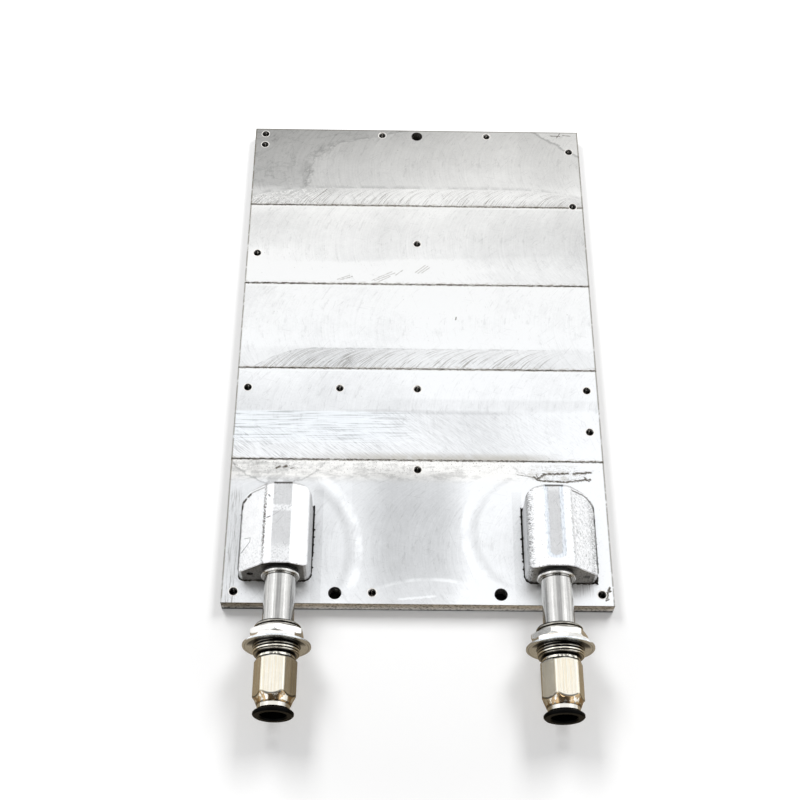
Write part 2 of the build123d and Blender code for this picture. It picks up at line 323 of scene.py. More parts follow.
milled, tree, shader = new_metal("milled_plate")
spot, x, y, z = place_mm(tree)
top = z.between(plate_top - 0.15, plate_top - 0.02)
sideways = x / plate_half_width
wide = clouds(spot, 34.0, 4.0, 0.6)
fine = clouds(spot, 1.1, 3.0, 0.6)
ragged = clouds(spot, 5.0, 4.0, 0.65)

# How pale each lane looks, by millimetres from the middle to the rear, and how much
# paler it gets to the right. The lanes differ as cut, and the rear lane's darkening towards
# the rear edge is partly its own tone and partly painted reflection.
lane_tones = [
    (-150.0, 0.925), (-139.0, 0.895), (-128.0, 0.868), (-100.0, 0.864), (-82.0, 0.895),
    (-73.0, 0.945), (-71.6, 0.945), (-71.4, 0.955), (-64.0, 0.95), (-52.0, 0.93),
    (-44.5, 0.925), (-42.0, 0.945), (-30.0, 0.95), (-16.7, 0.975), (-16.5, 0.93),
    (-4.5, 0.955), (-2.0, 0.98), (12.0, 0.97), (38.2, 0.985), (38.4, 0.955),
    (48.0, 0.965), (56.0, 0.935), (78.0, 0.925), (93.1, 0.955), (93.3, 0.90),
    (98.0, 0.945), (104.0, 0.92), (108.0, 0.875), (126.0, 0.84), (150.0, 0.785),
]
lane_drifts = [
    (-150.0, 0.015), (-71.6, 0.01), (-71.4, 0.01), (-45.0, 0.04), (-16.7, 0.0),
    (-16.5, 0.0), (38.2, 0.015), (38.4, -0.04), (60.0, -0.045), (93.1, -0.025),
    (93.3, 0.0), (108.0, 0.095), (150.0, 0.10),
]


def lane_share(value):
    """How far a place is from the plate's front edge, 0, to its rear one, 1."""
    return (value + plate_half_length) / (2 * plate_half_length)


def by_lane(along, stops, offset=0.0):
    return ramp(along, [(lane_share(at), offset + value) for at, value in stops])


def past_line(index):
    """1 on the plate's part to the rear of a lane line."""
    return (y - lane_lines[index]).between(-0.1, 0.2)


along = lane_share(y)
tone = by_lane(along, lane_tones)
drift = by_lane(along, lane_drifts, 0.5) - 0.5
tone = tone + drift * sideways + (wide - 0.5) * 0.12 + (ragged - 0.5) * 0.055
tone += sideways.near(0.12, 0.35, 0.05) * y.between(125.0, 108.0) * 0.025
tone -= sideways.between(0.3, 0.9) * y.between(100.0, 112.0) * 0.055
tone -= sideways.between(-0.6, -0.95) * y.near(75.0, 18.0, 8.0) * 0.05
cutter_radius = 42.0
front_lane_depth = 78.5
in_lane = by_lane(along, (
    (-150.0, 0.0), (-71.6, 1.0), (-71.4, 0.0), (-16.7, 0.7), (-16.5, 0.0), (38.2, 0.7),
    (38.4, 0.0), (93.1, 0.7), (93.3, 0.0), (150.0, 0.72),
)) * front_lane_depth - 27.5
swing = (cutter_radius**2 - in_lane * in_lane).at_least(1.0) ** 0.5
feed_marks = streaks(((x + swing) / 0.8, in_lane / 45.0, y / 90.0), 3.0, 0.75)
tone += (feed_marks - 0.5) * 0.09
faint = streaks(((x + swing) / 2.4, in_lane / 9.0, 4.0), 3.0, 0.7)
tone -= faint.between(0.56, 0.68) * 0.045


def cutter_strokes(x, below, radius, spacing, threshold):
    """Thin arcs that a face cutter leaves, level at the band's upper edge."""
    depth = below.at_least(0.0).at_most(radius - 0.5)
    reach = (radius**2 - (radius - depth) * (radius - depth)).at_least(0.0) ** 0.5
    centre = x + reach
    lines = streaks((centre / spacing, depth / 14.0, radius), 2.0, 0.75)
    return lines.between(threshold, threshold + 0.09)


# Overlap of the first and second pass: a pale band with short dark strokes
first_band = 105.8
band_edge = first_band - (sideways.size() ** 6) * 7.0
below = band_edge - y + (ragged - 0.5) * 1.2
in_band = below.between(-0.4, 0.8) * past_line(0)
rim = below.between(-3.0, -0.2) * below.between(0.4, -0.2)
strokes = cutter_strokes(x, below, radius=19.0, spacing=0.5, threshold=0.565) * in_band
finer = cutter_strokes(x + 3.0, below, radius=22.0, spacing=0.3, threshold=0.53) * in_band
squiggles = streaks((x / 4.0, y / 2.4, 9.0), 3.0, 0.6, 1.5)
squiggles = squiggles.near(0.5, 0.05, 0.01) * in_band * sideways.between(-0.52, -0.7)
paler = 0.05 - sideways.size() * 0.085 - sideways.between(-0.35, -0.75) * 0.01
tone = tone + squiggles * 0.13 + in_band * paler
tone = tone - rim * ragged.between(0.35, 0.6) * 0.10 - strokes * 0.26 - finer * 0.09
dark_strokes = strokes

# Second lane's pale lower band, with a few strokes in its middle
second_band = 51.0
below = second_band + (x + plate_half_width) * 0.043 - y + (wide - 0.5) * 3.0
in_band = below.between(-1.5, 1.2) * past_line(1) * y.between(62.0, 60.0)
strokes = marks(x, y, (
    ((-44.0, 41.2), (-37.5, 44.0)), ((-42.5, 40.9), (-36.0, 43.2)), ((-25.0, 40.8), (-14.0, 46.8)),
    ((-23.5, 40.6), (-12.2, 46.0)), ((-21.0, 40.2), (-15.0, 43.6)), ((-12.0, 44.5), (-8.0, 48.0)),
    ((-1.0, 46.5), (4.5, 51.5)), ((0.5, 46.0), (6.0, 51.0)), ((2.5, 46.2), (7.0, 50.0)),
), 0.5, 1.1)
hatch_fine = streaks(((x + y) / 0.7, (x - y) / 14.0, 2.0), 2.0, 0.7)
tone = tone + in_band * (0.032 - sideways * 0.02 + (hatch_fine - 0.5) * 0.11) - strokes * 0.12
dark_strokes += strokes

# Third lane's lower band, with long curved strokes
left_end = (-55.0 - x).at_least(0.0)
third_band = -3.6
below = third_band - left_end * left_end * 0.012 - y + (ragged - 0.5) * 0.9
in_band = below.between(-0.2, 0.5) * past_line(2)
fading = sideways.between(0.95, 0.5)
strokes = cutter_strokes(x, below, radius=33.0, spacing=0.7, threshold=0.545)
strokes = strokes * in_band * fading
heavier = sideways.near(-0.52, 0.32, 0.08)
finer = cutter_strokes(x + 3.0, below, radius=36.0, spacing=0.4, threshold=0.52)
finer = finer * in_band * fading
tone -= in_band * fading * (0.012 + heavier * 0.02)
tone = tone - strokes * (0.20 + heavier * 0.06) - finer * (0.05 + heavier * 0.09)
tone -= in_band * fading * below.between(1.4, 0.1) * ragged.between(0.42, 0.56) * 0.13
dark_strokes += strokes

# Fourth lane: brushed to the left, in long level lines and short slanting ones
level_lines = streaks((x / 26.0, (y - x * 0.012) / 0.8, 0.0), 2.0, 0.6)
slant_x, slant_y, _ = parts_of(turned_about_z(spot, 38.0))
slant_lines = streaks((slant_x / 9.0, slant_y / 0.5, 0.0), 3.0, 0.65)
brushed_edge = -43.0
step_down = (brushed_edge - y + (ragged - 0.5) * 1.0).between(-0.8, 0.8) * past_line(3)
brushed_left = step_down * sideways.between(0.12, -0.35) * y.between(-65.0, -57.0)
lower_part = y.between(-49.0, -56.0).at_least(sideways.between(-0.45, -0.05))
finer_level = streaks((x / 30.0, y / 0.3, 7.0), 2.0, 0.6)
level_dark = level_lines.between(0.53, 0.58) * 0.17 + finer_level.between(0.54, 0.60) * 0.08
tone += brushed_left * (0.115 - level_dark * 1.1)
tone -= step_down * lower_part * slant_lines.between(0.52, 0.60) * (0.075 - sideways * 0.055)
tone += step_down * lower_part * slant_lines.between(0.46, 0.38) * 0.04 * (1.0 - sideways)
step_edge = (y - brushed_edge + (ragged - 0.5) * 1.4).near(0.0, 2.0, 0.3)
step_edge *= sideways.between(0.75, 0.3) * sideways.between(-0.5, -0.2)
above_step = y.near(-38.5, 4.5, 2.0) * sideways.between(-0.35, 0.0)
tone = tone - above_step * 0.035 - step_edge * 0.075 + step_down * lower_part * 0.02
tone -= sideways.between(-0.3, 0.2) * sideways.between(0.75, 0.3) * step_down * 0.055
above = y - lane_lines[3]
smoky = above.between(5.6, 1.0) * above.between(-0.2, 0.1)
smoky *= ragged.between(0.25, 0.62, 0.35, 1.0)
smoky *= sideways.between(-0.75, -0.1) * sideways.between(0.85, 0.5)
tone -= smoky * 0.09

# Front lane: a darker middle, and pale lines where the cutter turned round the blocks
in_front = y.between(lane_lines[3] + 0.2, lane_lines[3] - 0.2)
middle = x.near(-1.0, 33.0, 9.0) * y.between(-72.0, -84.0)
tone -= middle * in_front * (0.11 + (wide - 0.5) * 0.03)
tone += in_front * (0.035 + (1.0 - middle) * (sideways * 0.07 + 0.04))
front_streaks = streaks((x / 0.9, y / 26.0, 5.0), 2.0)
tone += (front_streaks - 0.5) * middle * 0.03
turns = (  # centre, reach across and along, and where across each is hidden and seen
    (-64.0, -122.0, 35.0, 44.0, -55.0, -47.0), (58.0, -112.0, 34.7, 38.0, 53.0, 45.0),
)
strength = streaks((x / 9.0, y / 9.0, 8.0), 2.0).between(0.36, 0.62, 0.35, 1.0)
for centre_x, centre_y, reach_x, reach_y, hidden, seen in turns:
    ring = hypot((x - centre_x) / reach_x, (y - centre_y) / reach_y)
    away = (ring - 1.0) * reach_x + (ragged - 0.5) * 1.6
    shown = x.between(hidden, seen) * y.between(-143.5, -139.0) * in_front
    bright = away.near(0.0, 2.9, 0.7) * strength
    outside = away.between(0.0, 3.0) * away.between(11.0, 3.0)
    # Inside each turn, a band of painted shade between the turn and the block.
    painted_shade = away.near(-5.2, 3.0, 0.2)
    tone += shown * (bright * 0.12 + outside * 0.01 - painted_shade * 0.06)
for centre_x, centre_y, reach_x, reach_y in ((-71.0, -60.0, 27.0, 25.5), (70.0, -58.0, 30.0, 25.0)):
    ring = hypot((x - centre_x) / reach_x, (y - centre_y) / reach_y)
    away = (ring - 1.0) * reach_y + (ragged - 0.5) * 3.6 + (wide - 0.5) * 3.0
    smeared = away.between(0.8, -1.0) * (0.03 - ragged.between(0.42, 0.60) * 0.12)
    tone += in_front * (smeared - away.near(0.0, 0.8, 0.1) * fine.between(0.3, 0.5) * 0.13)
strip = y.between(-71.8, -72.4) * y.between(-86.0, -80.0) * sideways.between(0.75, 0.4)
blots = streaks((x / 8.0, y / 3.4, 11.0), 5.0, 0.7)
tone -= strip * (blots.between(0.46, 0.60) * 0.11 - blots.between(0.42, 0.36) * 0.05)
front_turn = hypot(x - 5.9, y + 207.0) - 70.0
swept = in_front * x.near(6.0, 30.0, 22.0)
tone += swept * front_turn.near(0.0, 1.4, 0.2) * strength * 0.09
tone += swept * front_turn.between(0.5, -1.0) * 0.03
wavy = y + 146.6 - x * 0.10 + (fine - 0.5) * 1.6
tone += wavy.near(0.0, 0.9, 0.2) * x.near(-0.5, 10.0, 8.0) * 0.09
# A strip of painted shadow beside each block's inner wall, in the front lane.
shadow_by_wall = x.size().near(49.6, 2.7, 2.2) * y.between(-88.0, -90.0) * in_front
tone = tone - shadow_by_wall * 0.045 - in_front * 0.008
tone += (x + 33.0).between(0.25, -0.25) * in_front * 0.018

# Stains in the rear corners
stain_edge = (y - 106.0) * 0.23 + (y - 128.0).at_least(0.0) * 0.9 + (y - 140.0).at_least(0.0) * 3.0
from_stain = x + 64.0 - stain_edge + (ragged - 0.5) * 15.0
from_stain = from_stain + (wide - 0.5) * 16.0 + (fine - 0.5) * 2.5
in_rear = y.between(105.0, 108.0)
smear = from_stain.between(1.0, -0.8) * from_stain.between(-9.0, -0.5) * ragged.between(0.40, 0.60)
tone -= in_rear * (from_stain.near(0.0, 1.8, 0.0) * 0.06 + smear * 0.085)
tone -= in_rear * from_stain.between(1.0, -6.0) * (0.035 + (ragged - 0.5) * 0.08)
second_stain = streaks((x / 26.0, y / 15.0, 6.0), 5.0, 0.65, 0.6)
tone -= in_rear * second_stain.near(0.5, 0.02, 0.0) * from_stain.between(26.0, -4.0) * 0.05
far_corner = y - 149.7 + (x - 68.6) * 0.72 + (ragged - 0.5) * 7.0 + (fine - 0.5) * 1.2
tone += in_rear * far_corner.between(-0.6, 1.5) * 0.045
tone -= in_rear * far_corner.near(0.0, 1.5, 0.0) * 0.13

# Dirt along the lane lines, rubbed marks round the right block, and single scratches
smudge = streaks((x / 4.0, y / 1.1, 0.0), 4.0, 0.7)
grains = streaks((x / 2.8, y / 1.0, 6.0), 4.0, 0.75)
line_dirt, haze = [], smoky * 0.8
for index, line in enumerate(lane_lines):
    above = y - line + (fine - 0.5) * 1.1
    spread = (y - line + (ragged - 0.5) * 1.8 - 0.4).near(0.0, 1.9, 0.2)
    spread *= smudge.between(0.44, 0.62)
    grainy = above.near(0.0, 0.85, 0.2) * grains.between(0.42, 0.55, 0.08, 1.0)
    line_dirt.append(grainy * (0.8 + 0.2 * (index % 2)))
    # A pale line of painted highlight just in front of each lane line.
    tone += (y - line + 1.3).near(0.0, 0.7, 0.2) * 0.06
    line_haze = above.near(0.0, 0.95, 0.3) * grains.between(0.36, 0.58, 0.3, 0.9)
    haze = haze.at_least(line_haze).at_least(spread * 0.62)
dirt = strongest(line_dirt)
single_marks = [  # start, end, width and how ragged
    ((62.6, -82.6), (75.0, -83.2), 0.9, 2.0), ((75.0, -83.2), (87.3, -81.6), 0.95, 2.2),
    ((64.0, -78.8), (76.5, -78.3), 1.0, 2.6), ((79.5, -78.3), (88.0, -77.6), 1.0, 2.2),
    ((60.4, -81.6), (64.6, -79.0), 1.1, 2.6), ((59.0, -80.6), (62.2, -82.6), 1.0, 2.6),
    ((60.2, -79.4), (61.8, -82.0), 0.6, 1.8), ((84.6, -80.2), (86.6, -82.6), 0.9, 3.0),
    ((50.5, -79.2), (59.8, -80.8), 0.3, 0.9), ((91.2, -146.0), (91.7, -143.4), 1.3, 1.6),
    ((91.6, -143.8), (93.0, -140.6), 0.9, 1.2), ((90.9, -143.2), (93.4, -142.4), 0.7, 1.3),
    ((90.8, -147.2), (92.2, -146.6), 0.6, 1.2),
    ((78.8, 147.2), (84.6, 146.9), 0.45, 0.8), ((82.5, 145.6), (84.6, 149.0), 0.3, 0.4),
    ((86.2, 147.6), (90.8, 147.2), 0.35, 0.7), ((20.8, 15.2), (21.1, 16.9), 0.42, 0.3),
    ((-71.6, -76.6), (-69.8, -75.7), 0.9, 1.4), ((-68.0, -76.1), (-66.6, -75.6), 1.1, 1.2),
    ((-64.4, -76.9), (-62.8, -76.5), 0.4, 0.7),
    ((-61.0, 95.2), (-51.5, 105.0), 0.22, 0.3),
]
for start, end, width, rough in single_marks:
    mark = stroke(x, y, start, end, width, rough)
    dirt = dirt.at_least(mark * grains.between(0.36, 0.46, 0.35, 0.95))
grit = streaks((x / 0.8, y / 0.6, 12.0), 2.0, 0.6).between(0.61, 0.69)
dirt = dirt.at_least(grit * strip * y.between(-81.0, -77.0) * 0.75)
rubbed = streaks((x / 0.55, y / 24.0, 1.0), 4.0, 0.7).between(0.47, 0.66)
beside = x.near(-91.0, 3.4, 1.6) * y.between(-84.0, -96.0) * in_front
dirt = dirt.at_least(rubbed * beside * 0.62)
flecks = streaks((x / 0.6, y / 0.9, 2.0), 3.0, 0.6).between(0.62, 0.72)
around_foot = x.size().near(68.0, 27.0, 22.0) * y.between(-86.0, -92.0) * in_front
dirt = dirt.at_least(flecks * around_foot * 0.3)
grubby = hypot((x - 70.0) / 22.0, (y + 78.5) / 6.5).between(1.0, 0.5) * y.between(-72.5, -74.0)
haze = haze.at_least(grubby * blots.between(0.48, 0.60) * 0.5)
crumbs = streaks((x / 1.1, y / 0.7, 4.0), 4.0, 0.75).between(0.5, 0.66)
dirt = dirt.at_least(crumbs * grubby * 0.45)
below_right = x.near(74.0, 14.0, 9.0) * y.near(-142.0, 4.5, 2.0)
dirt = dirt.at_least(rubbed * below_right * 0.5)
scratches = use(tree, hairlines, Place=spot, Length=13.0)["Mark"]
specks = clouds(spot, 0.9, 2.0, 0.5).between(0.735, 0.77)
nicks = streaks((x / 1.6, y / 0.5, 1.0), 2.0, 0.5).between(0.70, 0.76)
tone = tone - scratches * 0.07 + (fine - 0.5) * 0.06 - nicks * 0.06
dirt = dirt.at_least(specks * 0.5)

# Edges of the plate, and all of it put together
side_lines = streaks((x / 14.0, y / 14.0, z / 0.35), 3.0, 0.6)
side_tone = 0.80 + (side_lines - 0.5) * 0.5 + (ragged - 0.5) * 0.5
side_tone = side_tone + 0.13 - z.near(cover_joint, 0.28, 0.08) * 0.34
# Painted shade where the sides meet the floor, darkest at the bottom.
side_tone -= z.between(1.9, 0.5) * 0.6
side_tone = side_tone - z.between(plate_top - 1.3, plate_top - 0.5) * 0.35 + 0.20
side_tone -= sideways.near(0.0, 0.45, 0.75) * 0.28
side_tone -= sideways.between(-0.4, -0.8) * 0.15
side_grit = streaks((x / 1.3, y / 1.3, z / 0.8), 3.0, 0.7)
side_tone = side_tone.at_most(1.0) - side_grit.between(0.50, 0.62) * 0.38
tone = side_tone + (tone - side_tone) * top
tone = tone.at_most(0.985)
warm_share = ((along - 0.35) * 1.6 * top).at_least(0.0).at_most(1.0)
tint = mixed(warm_share, (0.972, 0.987, 1.0), (1.0, 0.99, 0.957))
tint = mixed(brushed_left * 0.8, tint, (0.93, 0.97, 1.0))
tint = mixed(strip * 0.8, tint, (1.0, 0.988, 0.955))
tint = mixed(top, (1.0, 0.975, 0.94), tint)
clean = painted(tone, tint)
edges = use(tree, broken_edges, Radius=0.00035)
dust = mixed(ragged.between(0.3, 0.7), (0.44, 0.41, 0.34), (0.60, 0.58, 0.53))
soiled = mixed((haze * top).at_most(0.9), clean, dust)
soiled = mixed((dirt * top).at_most(0.92), soiled, (0.085, 0.066, 0.042))
soiled = mixed((dark_strokes * 0.28).at_most(0.5) * top, soiled, (0.24, 0.20, 0.13))
# The slot under each block's inner wall is painted near black, as painted shade.
slot_shade = x.size().near(51.6, 0.75, 0.6) * y.near(-111.8, 14.3, 13.9) * (1.0 - top)
soiled = mixed(slot_shade * z.between(4.0, 6.0), soiled, (0.006, 0.005, 0.004))
brown_edge = (sideways.size() - 0.990).between(0.0, 0.005) * top * ragged.between(0.25, 0.5)
rear_edge = y.between(149.0, 149.5) * top
edge_dirt = brown_edge.at_least(rear_edge * 0.7) * 0.7
roughness = 0.36 + (fine - 0.5) * 0.16 + (wide - 0.5) * 0.12 + dirt * 0.25
relief = fine * 0.25 - dark_strokes * 0.5 - scratches * 0.4 - dirt * 0.4
relief += slant_lines * step_down * 0.4
surface(
    shader, mixed(edge_dirt, soiled, (0.17, 0.15, 0.11)), roughness.at_least(0.1),
    bumped(relief, 0.012, edges["Normal"]),
)
dress(milled, "base_plate", "cover_plate")


# M4 threads in the plate's blind holes: one helical ridge, tapped into each wall, and
# the low lip that the tap raised round each mouth.
tap_holes = [
    (-89.1, 146.0), (-89.1, 137.9), (-89.1, 58.8), (-89.1, -28.9), (-89.1, -144.2),
    (89.1, 134.8), (89.1, 94.2), (89.1, -28.9), (89.1, -53.9), (89.1, -144.2),
    (0.0, 66.3), (0.0, -28.9), (0.0, -76.9), (-20.4, 146.0), (41.1, 146.0),
    (-22.2, -144.2), (-40.8, -28.9),
]
tap_wall = 1.66
tap_crest = 1.42
tap_pitch = 0.7
tap_top = 7.45
tap_floor = 1.65
# Radii of the lip, with how far each is above the cover
lip_profile = ((2.04, -0.1), (2.12, 0.05), (2.38, 0.05), (2.5, -0.02))


def new_piece(name, points_mm, faces, material):
    """A mesh piece from points in millimetres and faces that name them by number."""
    mesh = bpy.data.meshes.new(name)
    mesh.from_pydata([tuple(value / 1000.0 for value in point) for point in points_mm], [], faces)
    mesh.materials.append(material)
    mesh.polygons.foreach_set("use_smooth", [True] * len(mesh.polygons))
    mesh.update()
    piece = bpy.data.objects.new(name, mesh)
    bpy.context.scene.collection.objects.link(piece)
    return piece


def on_circle(middle, radius, angle):
    return middle[0] + radius * math.cos(angle), middle[1] + radius * math.sin(angle)


def thread_ridges():
    """Each hole's raised lip and its ridge, whose ends run out into the wall."""
    steps, round_lip = 18, 24
    points, faces = [], []
    count = int((tap_top - tap_floor) / tap_pitch * steps)
    for hole in tap_holes:
        lip = len(points)
        for radius, lift in lip_profile:
            for index in range(round_lip):
                angle = 2 * math.pi * index / round_lip
                points.append((*on_circle(hole, radius, angle), plate_top + lift))
        for row in range(len(lip_profile) - 1):
            inner = lip + round_lip * row
            outer = inner + round_lip
            for index in range(round_lip):
                beside = (index + 1) % round_lip
                faces.append((inner + index, outer + index, outer + beside, inner + beside))
        first = len(points)
        for index in range(count + 1):
            angle = 2 * math.pi * index / steps
            height = tap_floor + tap_pitch * index / steps
            rise = min(1.0, index / steps, (count - index) / steps)
            crest = tap_wall - (tap_wall - tap_crest) * rise
            for radius, lift in ((tap_wall, -0.30), (crest, 0.0), (tap_wall, 0.30)):
                points.append((*on_circle(hole, radius, angle), height + lift * tap_pitch))
        for index in range(count):
            for lane in range(2):
                corner = first + 3 * index + lane
                faces.append((corner, corner + 1, corner + 4, corner + 3))
    return points, faces


threads_metal, tree, shader = new_metal("tapped_aluminium")
spot, _, _, z = place_mm(tree)
grain = clouds(spot, 0.3, 3.0)
lip = z.between(plate_top - 0.3, plate_top - 0.1)
rearward = tree.nodes.new("ShaderNodeAttribute")
rearward.attribute_name = "rearward"
painted_glint = Field(rearward.outputs["Fac"]).between(0.94, 0.97)
# The threads are painted dark as painted shade in the holes, with a painted glint down the middle
# of each rear wall, and the lip is pale.
tone = 0.34 + lip.at_least(painted_glint) * 0.64 + (grain - 0.5) * 0.2
surface(shader, painted(tone, (1.0, 0.97, 0.92)), 0.26 + lip * 0.1 + (grain - 0.5) * 0.2)
ridge_points, ridge_faces = thread_ridges()
threads = new_piece("plate_tapped_threads", ridge_points, ridge_faces, threads_metal)
per_hole = len(ridge_points) // len(tap_holes)
rear_side = []
for index, (at_x, at_y, _) in enumerate(ridge_points):
    hole_x, hole_y = tap_holes[index // per_hole]
    rear_side.append((at_y - hole_y) / math.hypot(at_x - hole_x, at_y - hole_y))
threads.data.attributes.new("rearward", "FLOAT", "POINT").data.foreach_set("value", rear_side)
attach(threads, "plate")


# Port blocks: two mirrored aluminium blocks with milled slopes and a brushed crown,
# brazed on the cover. The outer ridge is pitted, and the right block is the rougher.
axis_from_centre = 66.0
block_front = -138.4
block_rear = -95.4
block_inner = -14.0
block_outer = 21.0

block_metal, tree, shader = new_metal("milled_block")
spot, x, y, z = place_mm(tree)
right = x.between(-1.0, 1.0)
fine = clouds(spot, 0.8, 4.0, 0.65)
patches = clouds(spot, 6.0, 4.0, 0.6)
ragged = streaks((x / 0.9, y / 2.6, z / 0.9), 4.0, 0.7)
outward = x.size() - axis_from_centre
wobble = outward + (ragged - 0.5) * (0.9 + right * 0.9)

# How pale a block is from its inner wall to its outer one, and the tongue of cleaner
# metal on the right block's crown
block_tones = [
    (-14.0, 0.74), (-13.3, 0.80), (-12.6, 0.90), (-11.8, 0.985), (-4.9, 0.975), (-4.3, 0.835),
    (4.1, 0.835), (4.6, 0.975), (7.6, 0.975), (8.4, 0.90), (9.0, 0.975), (16.0, 0.97),
    (19.9, 0.95), (20.5, 0.45),
]
block_width = block_outer - block_inner
reach_share = (wobble - block_inner) / block_width
tone = ramp(reach_share, [((at - block_inner) / block_width, value) for at, value in block_tones])
foot_end = (y + 130.0).at_most(0.0)
off_tongue = hypot(outward + 0.4, foot_end) + (ragged - 0.5) * 2.6
tongue = off_tongue.between(3.3, 2.7)
tongue_rim = off_tongue.near(3.9, 1.5, 0.5) * outward.near(0.0, 5.6, 5.0)
tongue_rim *= y.between(-135.0, -133.5) * right
dashes = streaks((x / 0.7, y / 2.4, 3.0), 3.0, 0.7).between(0.49, 0.57)
tone += right * outward.near(0.0, 4.9, 4.4) * (0.11 - tongue * 0.115)
tone -= tongue_rim * dashes * 0.46

# Brushed crown, hatched slope and pitted ridge
crown = outward.near(0.0, 4.7, 4.3)
long_lines = streaks((x / 0.35, y / 16.0, z / 0.4), 3.0, 0.65)
tone = tone + (long_lines - 0.5) * 0.08 + (patches - 0.5) * 0.10 + (fine - 0.5) * 0.15
left_band = (y + 109.3 + (ragged - 0.5) * 1.6).near(0.0, 2.3, 1.2) * (1.0 - right) * crown
left_foot = (y + (ragged - 0.5) * 6.0).between(-127.0, -132.0) * (1.0 - right) * crown
tone += (left_band * 0.12 + left_foot * 0.10) * fine.between(0.3, 0.55)
worn_end = y.between(-132.0, -134.5) * right * crown + y.between(-99.5, -97.5) * right * crown
tone += worn_end * 0.07
on_slope = outward.between(8.6, 9.4)
hatch_x, hatch_y, _ = parts_of(turned_about_z(spot, -32.0))
hatching = streaks((hatch_x / 0.34, hatch_y / 5.0, 0.0), 3.0, 0.7)
hatch_mark = hatching.between(0.5, 0.62) * on_slope * (0.15 + right * 0.5)
mottle = streaks((x / 1.1, y / 1.1, z / 1.1), 4.0, 0.75)
rough_slope = on_slope * (right + (1.0 - right) * y.between(-119.0, -130.0) * 0.7)
tone = tone - hatch_mark * 0.17 - rough_slope * (mottle.between(0.48, 0.62) * 0.15 - 0.02)
ridge = (wobble - 8.4 + (fine - 0.5) * 1.2).near(0.0, 1.0, 0.3)
heaviest = y.near(-116.0, 22.0, 8.0, 0.35, 1.0)
ridge *= heaviest * (1.0 - right * 0.65)
pits = clouds(vector(x, y / 0.8, z), 0.9, 3.0, 0.7).between(0.44, 0.52) * ridge
second_ridge = wobble.near(4.5, 0.3, 0.1) * ragged.between(0.55, 0.68)
scuffs = ragged.between(0.57, 0.68) * (0.3 + right * 0.6) * (1.0 - crown)
dents = streaks((x / 0.8, y / 0.8, z / 0.8), 2.0, 0.5).between(0.62, 0.70)
dents *= (0.35 + right * 0.6 + y.between(-118.0, -128.0) * 0.5) * (1.0 - crown * 0.7)

# Single marks, scratches and ragged edges
loop = strongest([
    stroke(x, y, (-85.6, -128.4), (-81.4, -124.2), 0.32),
    marks(x, y, (((-81.4, -124.2), (-81.2, -122.0)), ((-81.2, -122.0), (-84.2, -121.4))), 0.26),
    marks(x, y, (((-72.9, -102.0), (-72.2, -103.0)), ((-73.2, -114.2), (-71.6, -113.8))), 0.5, 0.5)
    * 1.6,
])
scratches = use(tree, hairlines, Place=spot, Length=7.0)["Mark"]
tone = tone - scratches * 0.12 - scuffs * 0.15 - second_ridge * 0.2 - dents * 0.16 - loop * 0.3
fringe = streaks((x / 1.2, y / 0.32, z / 1.2), 2.0, 0.6).between(0.5, 0.6)
jagged = streaks(((x + y * 0.35) / 1.6, y / 0.42, z / 1.6), 3.0, 0.7).between(0.48, 0.58)
tone -= right * fringe * outward.near(-12.2, 1.7, 0.5) * 0.36
tone -= right * jagged * outward.near(-11.6, 2.4, 0.8) * 0.24
tone -= right * fringe * outward.near(19.0, 1.8, 0.4) * 0.3

# Soot at the foot and in the corners, and painted shade in lines along the front and rear edges and
# round the slope's rear arc
low = z.between(10.6, 8.2)
soot_and_shade = clouds(spot, 2.2, 4.0, 0.7).between(0.46, 0.62) * low + z.between(8.9, 8.4) * 0.8
corner_burns = marks(x, y, (
    ((-86.8, -104.6), (-86.6, -103.2)), ((-85.8, -101.0), (-84.9, -99.9)),
    ((-83.4, -98.8), (-82.4, -98.2)),
), 1.0, 0.9)
soot_and_shade = soot_and_shade.at_least(corner_burns * 1.3)
arc_x, arc_y = (outward - 14.0).at_least(0.0), (y + 103.9).at_least(0.0)
off_arc = hypot(arc_x, arc_y) - 7.0 + (ragged - 0.5) * 0.8
slanted = off_arc.near(-0.55, 0.55, 0.25) * y.between(-105.0, -103.0) * outward.between(8.4, 9.4)
soot_and_shade = soot_and_shade.at_least(slanted * (0.55 + right * 0.3))
front_shade_line = (y - block_front).near(0.45, 0.4, 0.15) * (ragged.between(0.4, 0.6) * 0.6 + 0.25)
soot_and_shade = soot_and_shade.at_least(front_shade_line * outward.near(0.0, 22.0, 4.0, 0.6, 0.8))
rear_shade_rim = (y - block_rear + (ragged - 0.5) * 1.2).near(0.0, 1.3, 0.7) * (0.45 + crown * 0.55)
soot_and_shade = soot_and_shade.at_least(rear_shade_rim)

# Front face, painted darker and warmer as painted shade, with a darker band of painted shade under
# the slopes, and the round mark drilled in it
shaded_front = y.between(block_front + 0.25, block_front + 0.05)
in_mark = hypot(outward - 14.9, z - 16.0).between(1.75, 1.62)
in_mark *= y.between(block_front + 1.2, block_front + 1.05)
shaded_front = shaded_front.at_least(in_mark)
front_marks = streaks((x / 3.5, 0.0, z / 0.7), 4.0, 0.7)
tone -= shaded_front * (0.50 - right * 0.13 + (front_marks - 0.5) * 0.4)
tone -= in_mark * 0.2
crest = 29.6 - (outward - 4.4).at_least(0.0) * 0.55 - (-4.4 - outward).at_least(0.0) * 0.3
tone -= shaded_front * (crest - z).between(1.2, 0.3) * 0.5

edges = use(tree, broken_edges, Radius=0.0005)
